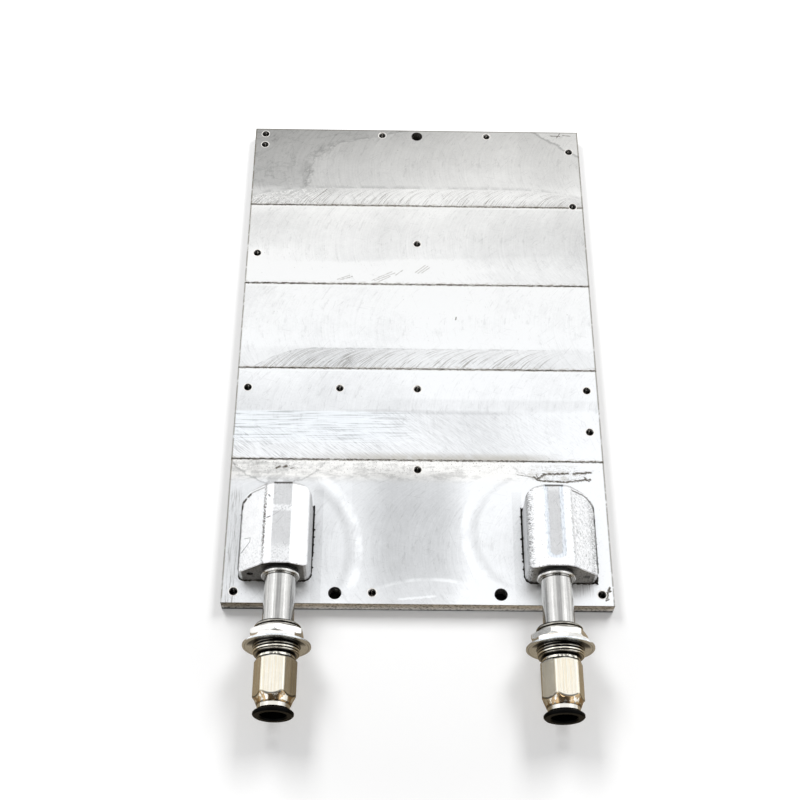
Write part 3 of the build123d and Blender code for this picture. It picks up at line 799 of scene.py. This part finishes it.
# Edges painted a little paler, as wear and as painted highlight.
tone = (tone + edges["Wear and sheen"] * 0.05).at_most(0.985)
metal = painted(tone, mixed(shaded_front, (0.985, 0.992, 1.0), (1.0, 0.965, 0.91)))
bluish = mixed(ragged.between(0.4, 0.6), (0.88, 0.94, 1.0), (0.72, 0.76, 0.82))
metal = mixed(tongue_rim * 0.8, metal, bluish)
metal = mixed((pits * 0.95).at_most(1.0), metal, (0.07, 0.06, 0.05))
rust_spots = clouds(spot, 0.55, 1.0).between(0.69, 0.74)
rust_spots *= outward.near(0.0, 9.0, 7.6) * outward.between(3.8, 4.6)
metal = mixed(rust_spots * (1.0 - right) * 0.6, metal, (0.62, 0.36, 0.16))
roughness = 0.38 + (fine - 0.5) * 0.2 - crown * 0.06 + scuffs * 0.2
relief = fine * 0.5 + long_lines * 0.25 - hatch_mark * 0.6 - pits * 1.2
relief = relief - scratches * 0.5 - scuffs * 0.5 - dents * 0.6
surface(
    shader, mixed((soot_and_shade * 0.85).at_most(0.95), metal, (0.035, 0.028, 0.02)),
    roughness.at_least(0.12), bumped(relief, 0.045, edges["Normal"]),
)
dress(block_metal, "left_port_block", "right_port_block")


# Braze: a thin uneven bead where each block meets the cover, burnt dark, and heavy and
# ragged along the right block's outer wall.
def part_way(point, other, share):
    return tuple(a + (b - a) * share for a, b in zip(point, other))


def bent_between(start, corner, end, share):
    """A point of the curve that leaves start and reaches end along the corner's arms."""
    return tuple(
        (1 - share) ** 2 * a + 2 * share * (1 - share) * b + share**2 * c
        for a, b, c in zip(start, corner, end)
    )


def block_footprint(side):
    """Points round a block's foot, every half millimetre, with their outward direction."""
    corners = [
        (block_inner, block_front, 4.0), (block_outer, block_front, 3.0),
        (block_outer, block_rear - 1.5, 7.0), (8.2, block_rear, 0.4),
        (block_inner, block_rear, 6.5),
    ]
    corner_steps, spacing = 8, 0.5
    line = []
    count = len(corners)
    for index, (reach, across, radius) in enumerate(corners):
        before = corners[index - 1]
        after = corners[(index + 1) % count]
        arms = []
        for other in (before, after):
            arm = (other[0] - reach, other[1] - across)
            length = math.hypot(*arm)
            arms.append((arm[0] / length, arm[1] / length))
        cosine = arms[0][0] * arms[1][0] + arms[0][1] * arms[1][1]
        half = 0.5 * math.acos(max(-1.0, min(1.0, cosine)))
        setback = radius / math.tan(half)
        start = (reach + arms[0][0] * setback, across + arms[0][1] * setback)
        end = (reach + arms[1][0] * setback, across + arms[1][1] * setback)
        for step in range(corner_steps + 1):
            line.append(bent_between(start, (reach, across), end, step / corner_steps))
    even = []
    for index, point in enumerate(line):
        following = line[(index + 1) % len(line)]
        length = math.dist(point, following)
        pieces = max(1, round(length / spacing))
        for step in range(pieces):
            even.append(part_way(point, following, step / pieces))
    placed = []
    for index, point in enumerate(even):
        following = even[(index + 1) % len(even)]
        before = even[index - 1]
        run = (following[0] - before[0], following[1] - before[1])
        length = math.hypot(*run) or 1.0
        placed.append((point[0], point[1], run[1] / length, -run[0] / length))
    return [(side * (axis_from_centre + r), a, side * nx, ny) for r, a, nx, ny in placed]


def braze_bead(side, seed):
    """A ragged fillet round a block's foot: wall, three points of its swell, and cover."""
    dice = random.Random(seed)
    ring = block_footprint(side)
    waves = [
        (dice.uniform(0.5, 1.0), dice.randint(5, 70), dice.uniform(0, 2 * math.pi))
        for _ in range(14)
    ]
    profile = ((-0.12, 1.0), (0.25, 0.95), (0.62, 0.62), (0.9, 0.25), (1.1, -0.02))
    points, faces = [], []
    count, wide = len(ring), len(profile)
    for index, (at_x, at_y, out_x, out_y) in enumerate(ring):
        turn = 2 * math.pi * index / count
        swell = sum(size * math.sin(beats * turn + shift) for size, beats, shift in waves) / 4.0
        size = max(0.12, 0.30 + 0.13 * swell + dice.uniform(-0.05, 0.09))
        outer_wall = side * out_x > 0.6
        front_corner = at_y < block_front + 3.5 and side * at_x > axis_from_centre + 17.5
        if side > 0 and outer_wall:
            size *= 1.9 + 0.9 * abs(math.sin(23 * turn)) + dice.uniform(0.0, 0.9)
        if side > 0 and front_corner:
            size *= dice.uniform(0.7, 1.5)
        if side < 0 and at_y > block_rear - 9 and side * at_x > axis_from_centre + 5:
            size *= 1.6 + dice.uniform(0.0, 1.2)
        if side * out_x < -0.9:
            size *= 1.2 + 2.6 * max(0.0, math.sin(37 * turn)) ** 3 * dice.uniform(0.4, 1.0)
        if out_y < -0.6:
            size *= 1.2 + dice.uniform(0.0, 0.5)
        for away, height in profile:
            jitter = dice.uniform(-0.06, 0.06)
            points.append((
                at_x + out_x * size * (away + jitter),
                at_y + out_y * size * (away + jitter),
                plate_top + size * height * 1.25,
            ))
    for index in range(count):
        here, following = wide * index, wide * ((index + 1) % count)
        for lane in range(wide - 1):
            faces.append((here + lane, here + lane + 1, following + lane + 1, following + lane))
    return points, faces


braze_metal, tree, shader = new_metal("burnt_braze", 0.6)
spot, x, _, _ = place_mm(tree)
lumps = clouds(spot, 0.9, 4.0, 0.7)
burnt = clouds(spot, 3.2, 4.0, 0.7)
outer_right = x.between(84.0, 86.5)
dark = burnt.between(0.80, 0.52) * 0.95 + outer_right * 0.3 + x.near(0.0, 53.0, 52.4)
surface(
    shader, mixed(dark.at_most(1.0), (0.30, 0.28, 0.25), (0.012, 0.009, 0.007)),
    0.55 + lumps * 0.3, bumped(lumps, 0.15),
)
for side, label, seed in ((-1, "left", 11), (1, "right", 7)):
    bead = new_piece(f"{label}_braze_bead", *braze_bead(side, seed), braze_metal)
    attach(bead, "plate")


# Tube seals: black rubber rings, squeezed until they bulge between block and collar.
# The round seals inside the mouths, which hold the hoses tight, are of the same rubber.
rubber, tree, shader = new_metal("seal_rubber", 0.0)
spot, *_ = place_mm(tree)
dust = clouds(spot, 1.4, 4.0, 0.7)
surface(
    shader, mixed(dust.between(0.5, 0.75) * 0.5, (0.014, 0.014, 0.014), (0.075, 0.07, 0.062)),
    0.55 + (dust - 0.5) * 0.3, bumped(clouds(spot, 0.35, 3.0), 0.02),
)
dress(rubber, "left_tube_seal", "right_tube_seal", "left_hose_seal", "right_hose_seal")


# Tubes: drawn aluminium with a turned collar, screwed into the blocks. Polishing along
# the tube left long hairlines.
def lengthwise_group():
    """Hairlines along a piece that points to the front."""
    group, given, result = effect(
        "lengthwise_lines", [("Place", "vector"), ("Width", "number")], [("Line", "number")]
    )
    x, y, z = parts_of(given["Place"])
    width = Field(given["Width"])
    feed(result["Line"], streaks((x / width, y / 17.0, z / width), 3.0, 0.6))
    return group


def turned_group():
    """Fine rings that a lathe leaves round a piece that points to the front."""
    group, given, result = effect(
        "turned_rings", [("Place", "vector"), ("Pitch", "number")], [("Ring", "number")]
    )
    x, y, z = parts_of(given["Place"])
    feed(result["Ring"], streaks((x / 30.0, y / Field(given["Pitch"]), z / 30.0), 2.0, 0.6))
    return group


lengthwise = lengthwise_group()
turned_rings = turned_group()

drawn, tree, shader = new_metal("drawn_tube")
spot, x, y, _ = place_mm(tree)
lines = use(tree, lengthwise, Place=spot, Width=0.45)["Line"]
rings = use(tree, turned_rings, Place=spot, Pitch=0.4)["Ring"]
patches = clouds(spot, 4.0, 3.0, 0.6)
collar = y.between(-141.4, -141.2)
tone = 0.80 + (lines - 0.5) * 0.34 * (1.0 - collar) + (patches - 0.5) * 0.08 + collar * 0.06
soil = clouds(spot, 1.2, 3.0, 0.6).between(0.66, 0.74)
edges = use(tree, broken_edges, Radius=0.0002)
across = x.size() - axis_from_centre
# Painted shade: a darker stripe along the top and bottom of each tube, darker sides away from the
# collar, and a dark line where the collar steps down to the tube.
tone -= across.near(-0.2, 1.5, 0.7) * 0.17
tone -= across.near(0.0, 4.6, 6.2) * 0.12 * (1.0 - collar)
tone -= y.near(-141.9, 0.35, 0.15) * 0.35
metal = painted(tone, (1.0, 0.992, 0.965))
roughness = 0.20 + (patches - 0.5) * 0.1 + (lines - 0.5) * 0.12
relief = lines * 0.5 * (1.0 - collar) + rings * 0.5 * collar
surface(
    shader, mixed(soil * 0.35, metal, (0.2, 0.17, 0.13)), roughness.at_least(0.08),
    bumped(relief, 0.012, edges["Normal"]),
)
dress(drawn, "left_tube", "right_tube")


# Fitting bodies: each turned from one bar of brass, bright nickel plated, with a barrel
# threaded M22 x 1.5 for the bulkhead, a neck, a hexagon, and a mouth for the hose.
# Stations are millimetres along a port, in front of the blocks' front faces.
barrel_rear = 27.5
barrel_front = 42.1
barrel_crest = 11.0
barrel_root = 10.12
barrel_pitch = 1.5
hexagon_start = 42.7
mouth_front = 65.9
axis_height = 18.5
grip_flats = 18.0
smooth_round = 240
hexagon_turn = {"left": 26.0, "right": -20.8}


def broken_line(corners, rounding, steps):
    """A turned outline of (radius, station) corners with every inner corner rounded."""
    line = [corners[0]]
    for before, corner, after in zip(corners, corners[1:], corners[2:]):
        ends = []
        for other in (before, after):
            length = math.dist(corner, other)
            share = min(rounding / length, 0.45) if length else 0.0
            ends.append(part_way(corner, other, share))
        for step in range(steps + 1):
            line.append(bent_between(ends[0], corner, ends[1], step / steps))
    return line + [corners[-1]]


def filled_line(line, longest):
    """The same outline with points added, so that no run is longer than longest."""
    full = []
    for point, following in zip(line, line[1:]):
        pieces = max(1, math.ceil(math.dist(point, following) / longest))
        for step in range(pieces):
            full.append(part_way(point, following, step / pieces))
    return full + [line[-1]]


def softly_less(a, b, blend):
    """The lesser of two radii, with the edge between them rounded."""
    share = max(0.0, min(1.0, 0.5 + 0.5 * (b - a) / blend))
    return b + (a - b) * share - blend * share * (1 - share)


def lathe(name, label, line, segments, material, flats=0.0, turn=0.0, edge=0.2, thread=None):
    """A closed turned piece on a port's axis. flats cuts it to a hexagon, and thread
    gives its radius from (radius, station, turns)."""
    middle_x = axis_from_centre * (-1 if label == "left" else 1)
    points, faces = [], []
    for radius, station in line:
        for index in range(segments):
            degrees = turn + 360.0 * index / segments
            at = radius
            if flats:
                off = (degrees - turn) % 60.0 - 30.0
                at = softly_less(radius, flats / 2 / math.cos(math.radians(off)), edge)
            if thread:
                at = thread(radius, station, index / segments)
            angle = math.radians(degrees)
            points.append((
                middle_x + at * math.sin(angle), block_front - station,
                axis_height + at * math.cos(angle),
            ))
    rows = len(line)
    for row in range(rows):
        here, following = row * segments, (row + 1) % rows * segments
        for index in range(segments):
            beside = (index + 1) % segments
            faces.append((here + index, here + beside, following + beside, following + index))
    piece = new_piece(name, points, faces, material)
    shape = bmesh.new()
    shape.from_mesh(piece.data)
    bmesh.ops.remove_doubles(shape, verts=shape.verts, dist=1e-7)
    bmesh.ops.recalc_face_normals(shape, faces=shape.faces)
    shape.to_mesh(piece.data)
    shape.free()
    return piece


def barrel_thread(radius, station, share):
    """Thread flanks between root and crest, fading out at the barrel's chamfers."""
    if radius < barrel_root - 0.3:
        return radius
    phase = (station / barrel_pitch + share) % 1.0
    flank = abs(phase - 0.5) * 2.0
    rise = max(0.0, min(1.0, (flank - 0.10) / 0.50))
    return min(radius, barrel_root + (barrel_crest - barrel_root) * rise)


nickel, tree, shader = new_metal("bright_nickel")
spot, x, y, z = place_mm(tree)
lines = use(tree, lengthwise, Place=spot, Width=0.3)["Line"]
rings = use(tree, turned_rings, Place=spot, Pitch=0.3)["Ring"]
patches = clouds(spot, 3.5, 4.0, 0.6)
fine = clouds(spot, 0.6, 3.0, 0.6)
grips = y.between(-183.2, -184.2) * y.between(-201.2, -199.8)

# Streaks along the grips, with dark streaks and painted shade on their lower sides, painted shade
# on the left grip's inner flank, and brassy where the plating is thin
tone = 0.93 + (lines - 0.5) * 0.22 * grips + (patches - 0.5) * 0.07
tone += (rings - 0.5) * 0.05 * (1.0 - grips)
painted_shade = grips * z.between(25.0, 22.0)
dark_lines = streaks((x / 0.45, y / 40.0, z / 0.45), 3.0, 0.6).between(0.52, 0.62)
inner_flank_shade = x.between(-62.5, -61.0) * x.between(-40.0, -50.0)
tone -= painted_shade * (dark_lines * 0.13 + inner_flank_shade * 0.15)
brassy = streaks((x / 0.5, y / 1.2, z / 0.5), 3.0, 0.6).between(0.62, 0.74)

# Painted shade in the thread roots, on the threads next to the washer, in the gap behind the grip,
# at the mouth's front edge and in lines at the cones' edges;
# painted highlights on the thread crests and the rear cone, which has brown spots.
# The front cone is painted darker and brown as a painted reflection, with pale painted highlight
# spots.
out = hypot(x.size() - axis_from_centre, z - axis_height)
on_thread = y.between(-165.6, -166.2) * y.between(-180.8, -180.2) * out.between(11.3, 11.1)
root_shade = out.between(10.8, 10.45) * on_thread
gap_shade = y.near(-180.9, 0.7, 0.5) * out.between(9.6, 9.3)
shade_by_washer = y.between(-179.0, -177.4) * on_thread
station = block_front - y
rear_cone = out - 8.95 - (station - 44.3) * 1.15
front_cone = out - 10.1 + (station - 61.9) * 0.82
at_rear = station.between(44.7, 44.4) * station.between(42.6, 42.8)
at_front = front_cone.between(-0.3, -0.05) * station.between(61.5, 61.9)
rear_shade_line = rear_cone.near(-0.15, 0.5, 0.15)
rear_shade_line *= station.between(46.0, 45.2) * station.between(43.9, 44.2)
front_shade_line = front_cone.near(-0.42, 0.45, 0.15)
front_shade_line *= station.between(60.8, 61.6) * station.between(63.8, 63.2)
spots_and_glints = streaks((x / 1.9, y / 3.0, z / 1.9), 1.0, 0.5)
nuts = station.between(37.4, 37.2) * station.between(30.8, 31.0) * out.between(10.9, 11.2)
tone = tone + nuts * 0.05 + at_rear * (0.05 - spots_and_glints.between(0.52, 0.60) * 0.35)
tone += at_front * (spots_and_glints.between(0.50, 0.56) * 0.22 - 0.17)
tone -= station.near(65.6, 0.5, 0.2) * 0.5
tone = tone + out.between(10.85, 10.95) * on_thread * 0.08 - root_shade * 0.6 - gap_shade * 0.7
tone = tone - shade_by_washer * 0.35 - rear_shade_line * 0.45 - front_shade_line * 0.5
tone = tone.at_most(0.985)
metal = painted(tone, mixed(nuts, (1.0, 0.962, 0.86), (1.0, 0.985, 0.95)))
drawn_streaks = streaks((x / 0.24, y / 22.0, z / 0.24), 3.0, 0.6)
metal = mixed(drawn_streaks.between(0.42, 0.62) * grips * 0.6, metal, (0.80, 0.69, 0.47))
metal = mixed(at_front * spots_and_glints.between(0.56, 0.48) * 0.8, metal, (0.50, 0.33, 0.15))
metal = mixed(brassy * (0.25 + on_thread * 0.35), metal, (0.80, 0.60, 0.33))
grime = clouds(spot, 1.7, 4.0, 0.7).between(0.58, 0.72) * on_thread
metal = mixed(grime * 0.5, metal, (0.16, 0.13, 0.09))
roughness = 0.17 + (patches - 0.5) * 0.10 + grips * 0.05 + grime * 0.2
relief = lines * grips * 0.5 + rings * 0.5 * (1.0 - grips) + fine * 0.2
surface(shader, metal, roughness.at_least(0.06), bumped(relief, 0.01))

barrel_corners = [
    (9.3, 39.5), (6.6, 39.5), (6.6, barrel_rear), (10.2, barrel_rear),
    (barrel_crest, barrel_rear + 0.8), (barrel_crest, barrel_front - 0.6), (10.4, barrel_front),
    (8.5, barrel_front), (8.5, 41.0),
]
hexagon_corners = [
    (7.0, 41.2), (8.6, 41.6), (8.6, hexagon_start), (8.85, 42.95), (8.95, 44.3), (10.1, 45.3),
    (10.1, 61.9), (8.95, 63.3), (7.95, mouth_front), (7.62, mouth_front), (7.6, 53.5),
    (6.1, 53.5), (6.1, 45.9), (4.5, 45.9), (4.5, 41.2),
]
barrel_line = filled_line(broken_line(barrel_corners, 0.12, 2), 0.13)
hexagon_line = filled_line(broken_line(hexagon_corners, 0.22, 4), 0.9)
for label in ("left", "right"):
    barrel = lathe(f"{label}_threaded_barrel", label, barrel_line, 96, nickel, thread=barrel_thread)
    grip = lathe(
        f"{label}_hexagon_body", label, hexagon_line, smooth_round, nickel,
        flats=grip_flats, turn=hexagon_turn[label], edge=0.22,
    )
    for piece in (barrel, grip):
        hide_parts(f"{label}_fitting_body")
        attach(piece, "plate")


# Nuts: two thin hexagon nuts on each barrel, cut from brass bar and nickel plated, with
# their corners turned off. Locked against each other, they hold the fitting to a panel.
nut_turns = {
    "panel_nut": (31.0, {"left": -1.3, "right": -22.3}),
    "lock_nut": (34.0, {"left": -20.8, "right": 7.3}),
}
nut_flats = 24.0
nut_corner = nut_flats / math.sqrt(3.0)
for kind, (rear, turns) in nut_turns.items():
    corners = [
        (11.05, rear + 1.5), (11.05, rear + 0.35), (11.4, rear), (nut_corner - 0.9, rear),
        (nut_corner, rear + 0.5), (nut_corner, rear + 2.5), (nut_corner - 0.9, rear + 3.0),
        (11.4, rear + 3.0), (11.05, rear + 2.65), (11.05, rear + 1.6),
    ]
    line = filled_line(broken_line(corners, 0.16, 3), 0.6)
    for label, turn in turns.items():
        nut = lathe(
            f"{label}_{kind}_dressed", label, line, smooth_round, nickel,
            flats=nut_flats, turn=turn, edge=0.25,
        )
        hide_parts(f"{label}_{kind}")
        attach(nut, "plate")


# Washers: plain wide discs stamped from plated steel, with a faint turned grain. Each is
# slipped over its barrel, in front of the nuts, and bears on the panel.
plated, tree, shader = new_metal("plated_washer")
spot, x, y, z = place_mm(tree)
rings = use(tree, turned_rings, Place=spot, Pitch=0.25)["Ring"]
patches = clouds(spot, 4.0, 4.0, 0.6)
scratches = use(tree, hairlines, Place=spot, Length=5.0)["Mark"]
edges = use(tree, broken_edges, Radius=0.0002)
tone = 0.98 + (patches - 0.5) * 0.14 + (rings - 0.5) * 0.08
# Edges painted paler, as wear and as painted highlight.
tone = tone + edges["Wear and sheen"] * 0.2 - scratches * 0.1
out = hypot(x.size() - axis_from_centre, z - axis_height)
turned = streaks((out / 0.35, y, 0.0), 3.0, 0.6)
washer_front = -176.4
facing = y.between(washer_front + 0.2, washer_front + 0.05)
upper_shade = z.between(axis_height + 1.0, axis_height + 6.0, 0.03, 0.72)
# Painted shade on the upper inner part of the face, by the barrel.
tone = tone + (turned - 0.5) * 0.34 - out.between(14.6, 13.4) * facing * upper_shade
tone -= out.near(14.9, 0.4, 0.1) * 0.15 * facing
surface(
    shader, painted(tone.at_most(0.985), (0.93, 0.97, 1.0)),
    (0.24 + (patches - 0.5) * 0.15).at_least(0.08),
    bumped(rings + patches, 0.01, edges["Normal"]),
)
dress(plated, "left_washer", "right_washer")


# Inside each mouth: a guide sleeve of plated brass, a sprung claw ring that bites the
# hose, and a moulded support ring between claws and seal.
sleeve_metal, tree, shader = new_metal("sleeve_nickel")
spot, *_ = place_mm(tree)
rings = use(tree, turned_rings, Place=spot, Pitch=0.22)["Ring"]
patches = clouds(spot, 2.2, 3.0, 0.6)
edges = use(tree, broken_edges, Radius=0.00015)
tone = 0.90 + (patches - 0.5) * 0.10 + (rings - 0.5) * 0.06
surface(
    shader, painted(tone, (1.0, 0.97, 0.89)), 0.2 + (patches - 0.5) * 0.12,
    bumped(rings, 0.008, edges["Normal"]),
)
dress(sleeve_metal, "left_guide_sleeve", "right_guide_sleeve")

spring, tree, shader = new_metal("claw_spring")
spot, *_ = place_mm(tree)
grain = clouds(spot, 0.5, 3.0)
surface(
    shader, painted(0.78 + (grain - 0.5) * 0.14, (0.98, 0.98, 1.0)),
    0.3 + (grain - 0.5) * 0.2,
)
dress(spring, "left_claw_ring", "right_claw_ring")

moulded, tree, shader = new_metal("moulded_white", 0.0)
spot, *_ = place_mm(tree)
grain = clouds(spot, 0.4, 3.0)
surface(
    shader, painted(0.89 + (grain - 0.5) * 0.05, (1.0, 0.99, 0.96)),
    0.5 + (grain - 0.5) * 0.2,
)
dress(moulded, "left_support_ring", "right_support_ring")


# Release collets: black moulded rings that are pressed in to free the hose. Their lips
# are a little polished by fingers.
collet_black, tree, shader = new_metal("collet_plastic", 0.0)
spot, x, y, z = place_mm(tree)
texture = clouds(spot, 0.25, 3.0, 0.6)
rubbed = clouds(spot, 3.0, 3.0, 0.6)
edges = use(tree, broken_edges, Radius=0.0003)
lint = streaks((x / 0.3, y / 0.3, z / 1.2), 2.0).between(0.72, 0.78)
black = mixed(lint * 0.2, (0.0016, 0.0016, 0.0016), (0.05, 0.048, 0.042))
roughness = 0.30 + (rubbed - 0.5) * 0.16 + (texture - 0.5) * 0.08
# Edges painted a little paler, as wear and as painted highlight.
surface(
    shader, mixed(edges["Wear and sheen"] * 0.35, black, (0.012, 0.012, 0.012)),
    roughness.at_least(0.15), bumped(texture, 0.012, edges["Normal"]),
)
shader.inputs["Specular IOR Level"].default_value = 0.035
dress(collet_black, "left_release_collet", "right_release_collet")


# Studio: a pale floor, two strip lamps overhead and a white surround. A tent that only
# metal mirrors stands for the room's walls and ceiling panels, and a taupe card that only
# metal mirrors lies under the fittings, for their shaded sides.
def stage_mesh(name, points, faces, material):
    mesh = bpy.data.meshes.new(name)
    mesh.from_pydata(points, [], faces)
    mesh.materials.append(material)
    thing = bpy.data.objects.new(name, mesh)
    bpy.context.scene.collection.objects.link(thing)
    return thing


def level_sheet(name, sides, ends, height, material):
    """A flat rectangle of the studio from (left, right), (front, rear) and its height."""
    (left, right), (front, rear) = sides, ends
    corners = [
        (left, front, height), (right, front, height), (right, rear, height), (left, rear, height),
    ]
    return stage_mesh(name, corners, [(0, 1, 2, 3)], material)


def for_mirrors_only(thing):
    thing.visible_camera = False
    thing.visible_diffuse = False
    thing.visible_transmission = False
    thing.visible_volume_scatter = False
    thing.visible_shadow = False


def glowing(name):
    """A material that only glows, with its tree and its emission node."""
    material = bpy.data.materials.new(name)
    material.use_nodes = True
    tree = material.node_tree
    tree.nodes.clear()
    glow = tree.nodes.new("ShaderNodeEmission")
    end = tree.nodes.new("ShaderNodeOutputMaterial")
    feed(end.inputs["Surface"], glow.outputs[0])
    return material, tree, glow, end


def seen_as_background(tree):
    """1 for rays that show the white background: camera, mirror and glass rays."""
    ray = tree.nodes.new("ShaderNodeLightPath")
    direct = Field(ray.outputs["Is Camera Ray"]).at_least(Field(ray.outputs["Is Glossy Ray"]))
    return direct.at_least(Field(ray.outputs["Is Transmission Ray"]))


floor_reach = 8.0
floor_drop = -0.0002
floor_paint, tree, glow, end = glowing("pale_floor")
_, x, y, _ = place_mm(tree)
# Under the plate the floor is painted black, with no glow, as painted shadow.
shadow_under_plate = x.near(0.0, 94.5, 93.0) * y.near(0.0, 149.5, 148.0)
from_middle = hypot(x, (y + 20.0) / 1.35)
far_away = from_middle.between(150.0, 260.0) * 0.45 + from_middle.between(260.0, 1500.0) * 0.5
feed(glow.inputs["Strength"], (1.0 - shadow_under_plate) * (0.16 + far_away))
matt = tree.nodes.new("ShaderNodeBsdfDiffuse")
feed(matt.inputs["Color"], mixed(shadow_under_plate, (0.8, 0.8, 0.8), (0.01, 0.01, 0.01)))
both = tree.nodes.new("ShaderNodeAddShader")
choice = tree.nodes.new("ShaderNodeMixShader")
feed(both.inputs[0], matt.outputs[0])
feed(both.inputs[1], glow.outputs[0])
feed(choice.inputs[0], seen_as_background(tree))
feed(choice.inputs[1], matt.outputs[0])
feed(choice.inputs[2], both.outputs[0])
feed(end.inputs["Surface"], choice.outputs[0])
floor_ends = (-floor_reach, floor_reach)
level_sheet("floor", floor_ends, floor_ends, floor_drop, floor_paint)

tent_paint, tree, glow, _ = glowing("tent")
_, x, y, z = place_mm(tree)
far = hypot(hypot(x, y), z)
right_share, rear_share, up_share = x / far, y / far, z / far
bright = up_share.between(0.0, 0.55, 0.85, 1.12)
rear_low = rear_share.between(0.35, 0.75) * up_share.between(0.93, 0.62)
bright -= rear_low * 0.30
in_front = rear_share.between(-0.05, -0.42) * right_share.near(0.0, 0.62, 0.42)
in_front *= up_share.between(0.18, 0.40)
bright *= (1.0 - in_front * 0.90)
panel_angle = right_share.size() / (hypot(right_share, up_share).at_least(0.02))
panels = panel_angle.near(0.67, 0.075, 0.035) * up_share.between(0.1, 0.3)
beside_panels = panel_angle.near(0.83, 0.09, 0.05) * up_share.between(0.1, 0.3)
bright = bright + panels * (0.9 - in_front * 0.15) + beside_panels * 0.25 * (1.0 - in_front)
by_camera = hypot(right_share, rear_share + 0.78).between(0.13, 0.08)
bright += by_camera * 3.5
warm_share = (in_front - by_camera).at_least(0.0)
feed(glow.inputs["Color"], mixed(warm_share, (0.985, 0.99, 1.0), (1.0, 0.91, 0.80)))
feed(glow.inputs["Strength"], bright)
tent_radius = 2.5
tent_foot = -0.05
shell = bmesh.new()
bmesh.ops.create_icosphere(shell, subdivisions=4, radius=tent_radius)
low = [vertex for vertex in shell.verts if vertex.co.z < tent_foot]
bmesh.ops.delete(shell, geom=low, context="VERTS")
shell.verts.index_update()
shell_points = [tuple(vertex.co) for vertex in shell.verts]
shell_faces = [tuple(vertex.index for vertex in face.verts) for face in shell.faces]
shell.free()
for_mirrors_only(stage_mesh("tent", shell_points, shell_faces, tent_paint))
tent_paint.cycles.emission_sampling = "NONE"

card_paint, tree, glow, _ = glowing("taupe_card")
spot, x, *_ = place_mm(tree)
glow.inputs["Color"].default_value = (1.0, 0.82, 0.58, 1.0)
middle = x.near(0.0, 60.0, 40.0)
outer = x.near(0.0, 120.0, 220.0)
uneven = (clouds(spot, 60.0, 2.0) - 0.5) * 0.12
feed(glow.inputs["Strength"], 0.33 - middle * 0.08 + outer * 0.13 + uneven)
card_sides = (-0.6, 0.6)
card_ends = (-0.32, -0.1515)
card_height = 0.0004
for_mirrors_only(level_sheet("taupe_card", card_sides, card_ends, card_height, card_paint))
card_paint.cycles.emission_sampling = "NONE"

surround = bpy.data.worlds.new("surround")
bpy.context.scene.world = surround
surround.use_nodes = True
backdrop = surround.node_tree.nodes["Background"]
backdrop.inputs["Color"].default_value = (1.0, 1.0, 1.0, 1.0)
feed(backdrop.inputs["Strength"], seen_as_background(surround.node_tree) * 0.7 + 0.3)

for label, side in (("left", -1), ("right", 1)):
    lamp_data = bpy.data.lights.new(f"{label}_strip_lamp", "AREA")
    lamp_data.shape = "RECTANGLE"
    lamp_data.energy = 9.0
    lamp_data.size = 0.36
    lamp_data.size_y = 0.7
    lamp = bpy.data.objects.new(f"{label}_strip_lamp", lamp_data)
    lamp.location = (side * 0.5, 0.55, 0.95)
    lamp.rotation_euler = (math.radians(-30.0), math.radians(side * 24.0), 0.0)
    bpy.context.scene.collection.objects.link(lamp)
    lamp.visible_glossy = False
    lamp.visible_camera = False


# Camera: above the fittings' end, looking down and to the rear, as in the photograph.
# Its place and lens were found from the plate's corners.
camera_data = bpy.data.cameras.new("camera")
camera_data.sensor_width = 36.0
camera_data.lens = 61.95
camera = bpy.data.objects.new("camera", camera_data)
camera.location = (-0.016296, -0.404352, 0.626774)
camera.rotation_euler = tuple(math.radians(angle) for angle in (30.773, -0.811, 0.252))
bpy.context.scene.collection.objects.link(camera)
bpy.context.scene.camera = camera
bpy.context.scene.view_settings.view_transform = "Standard"
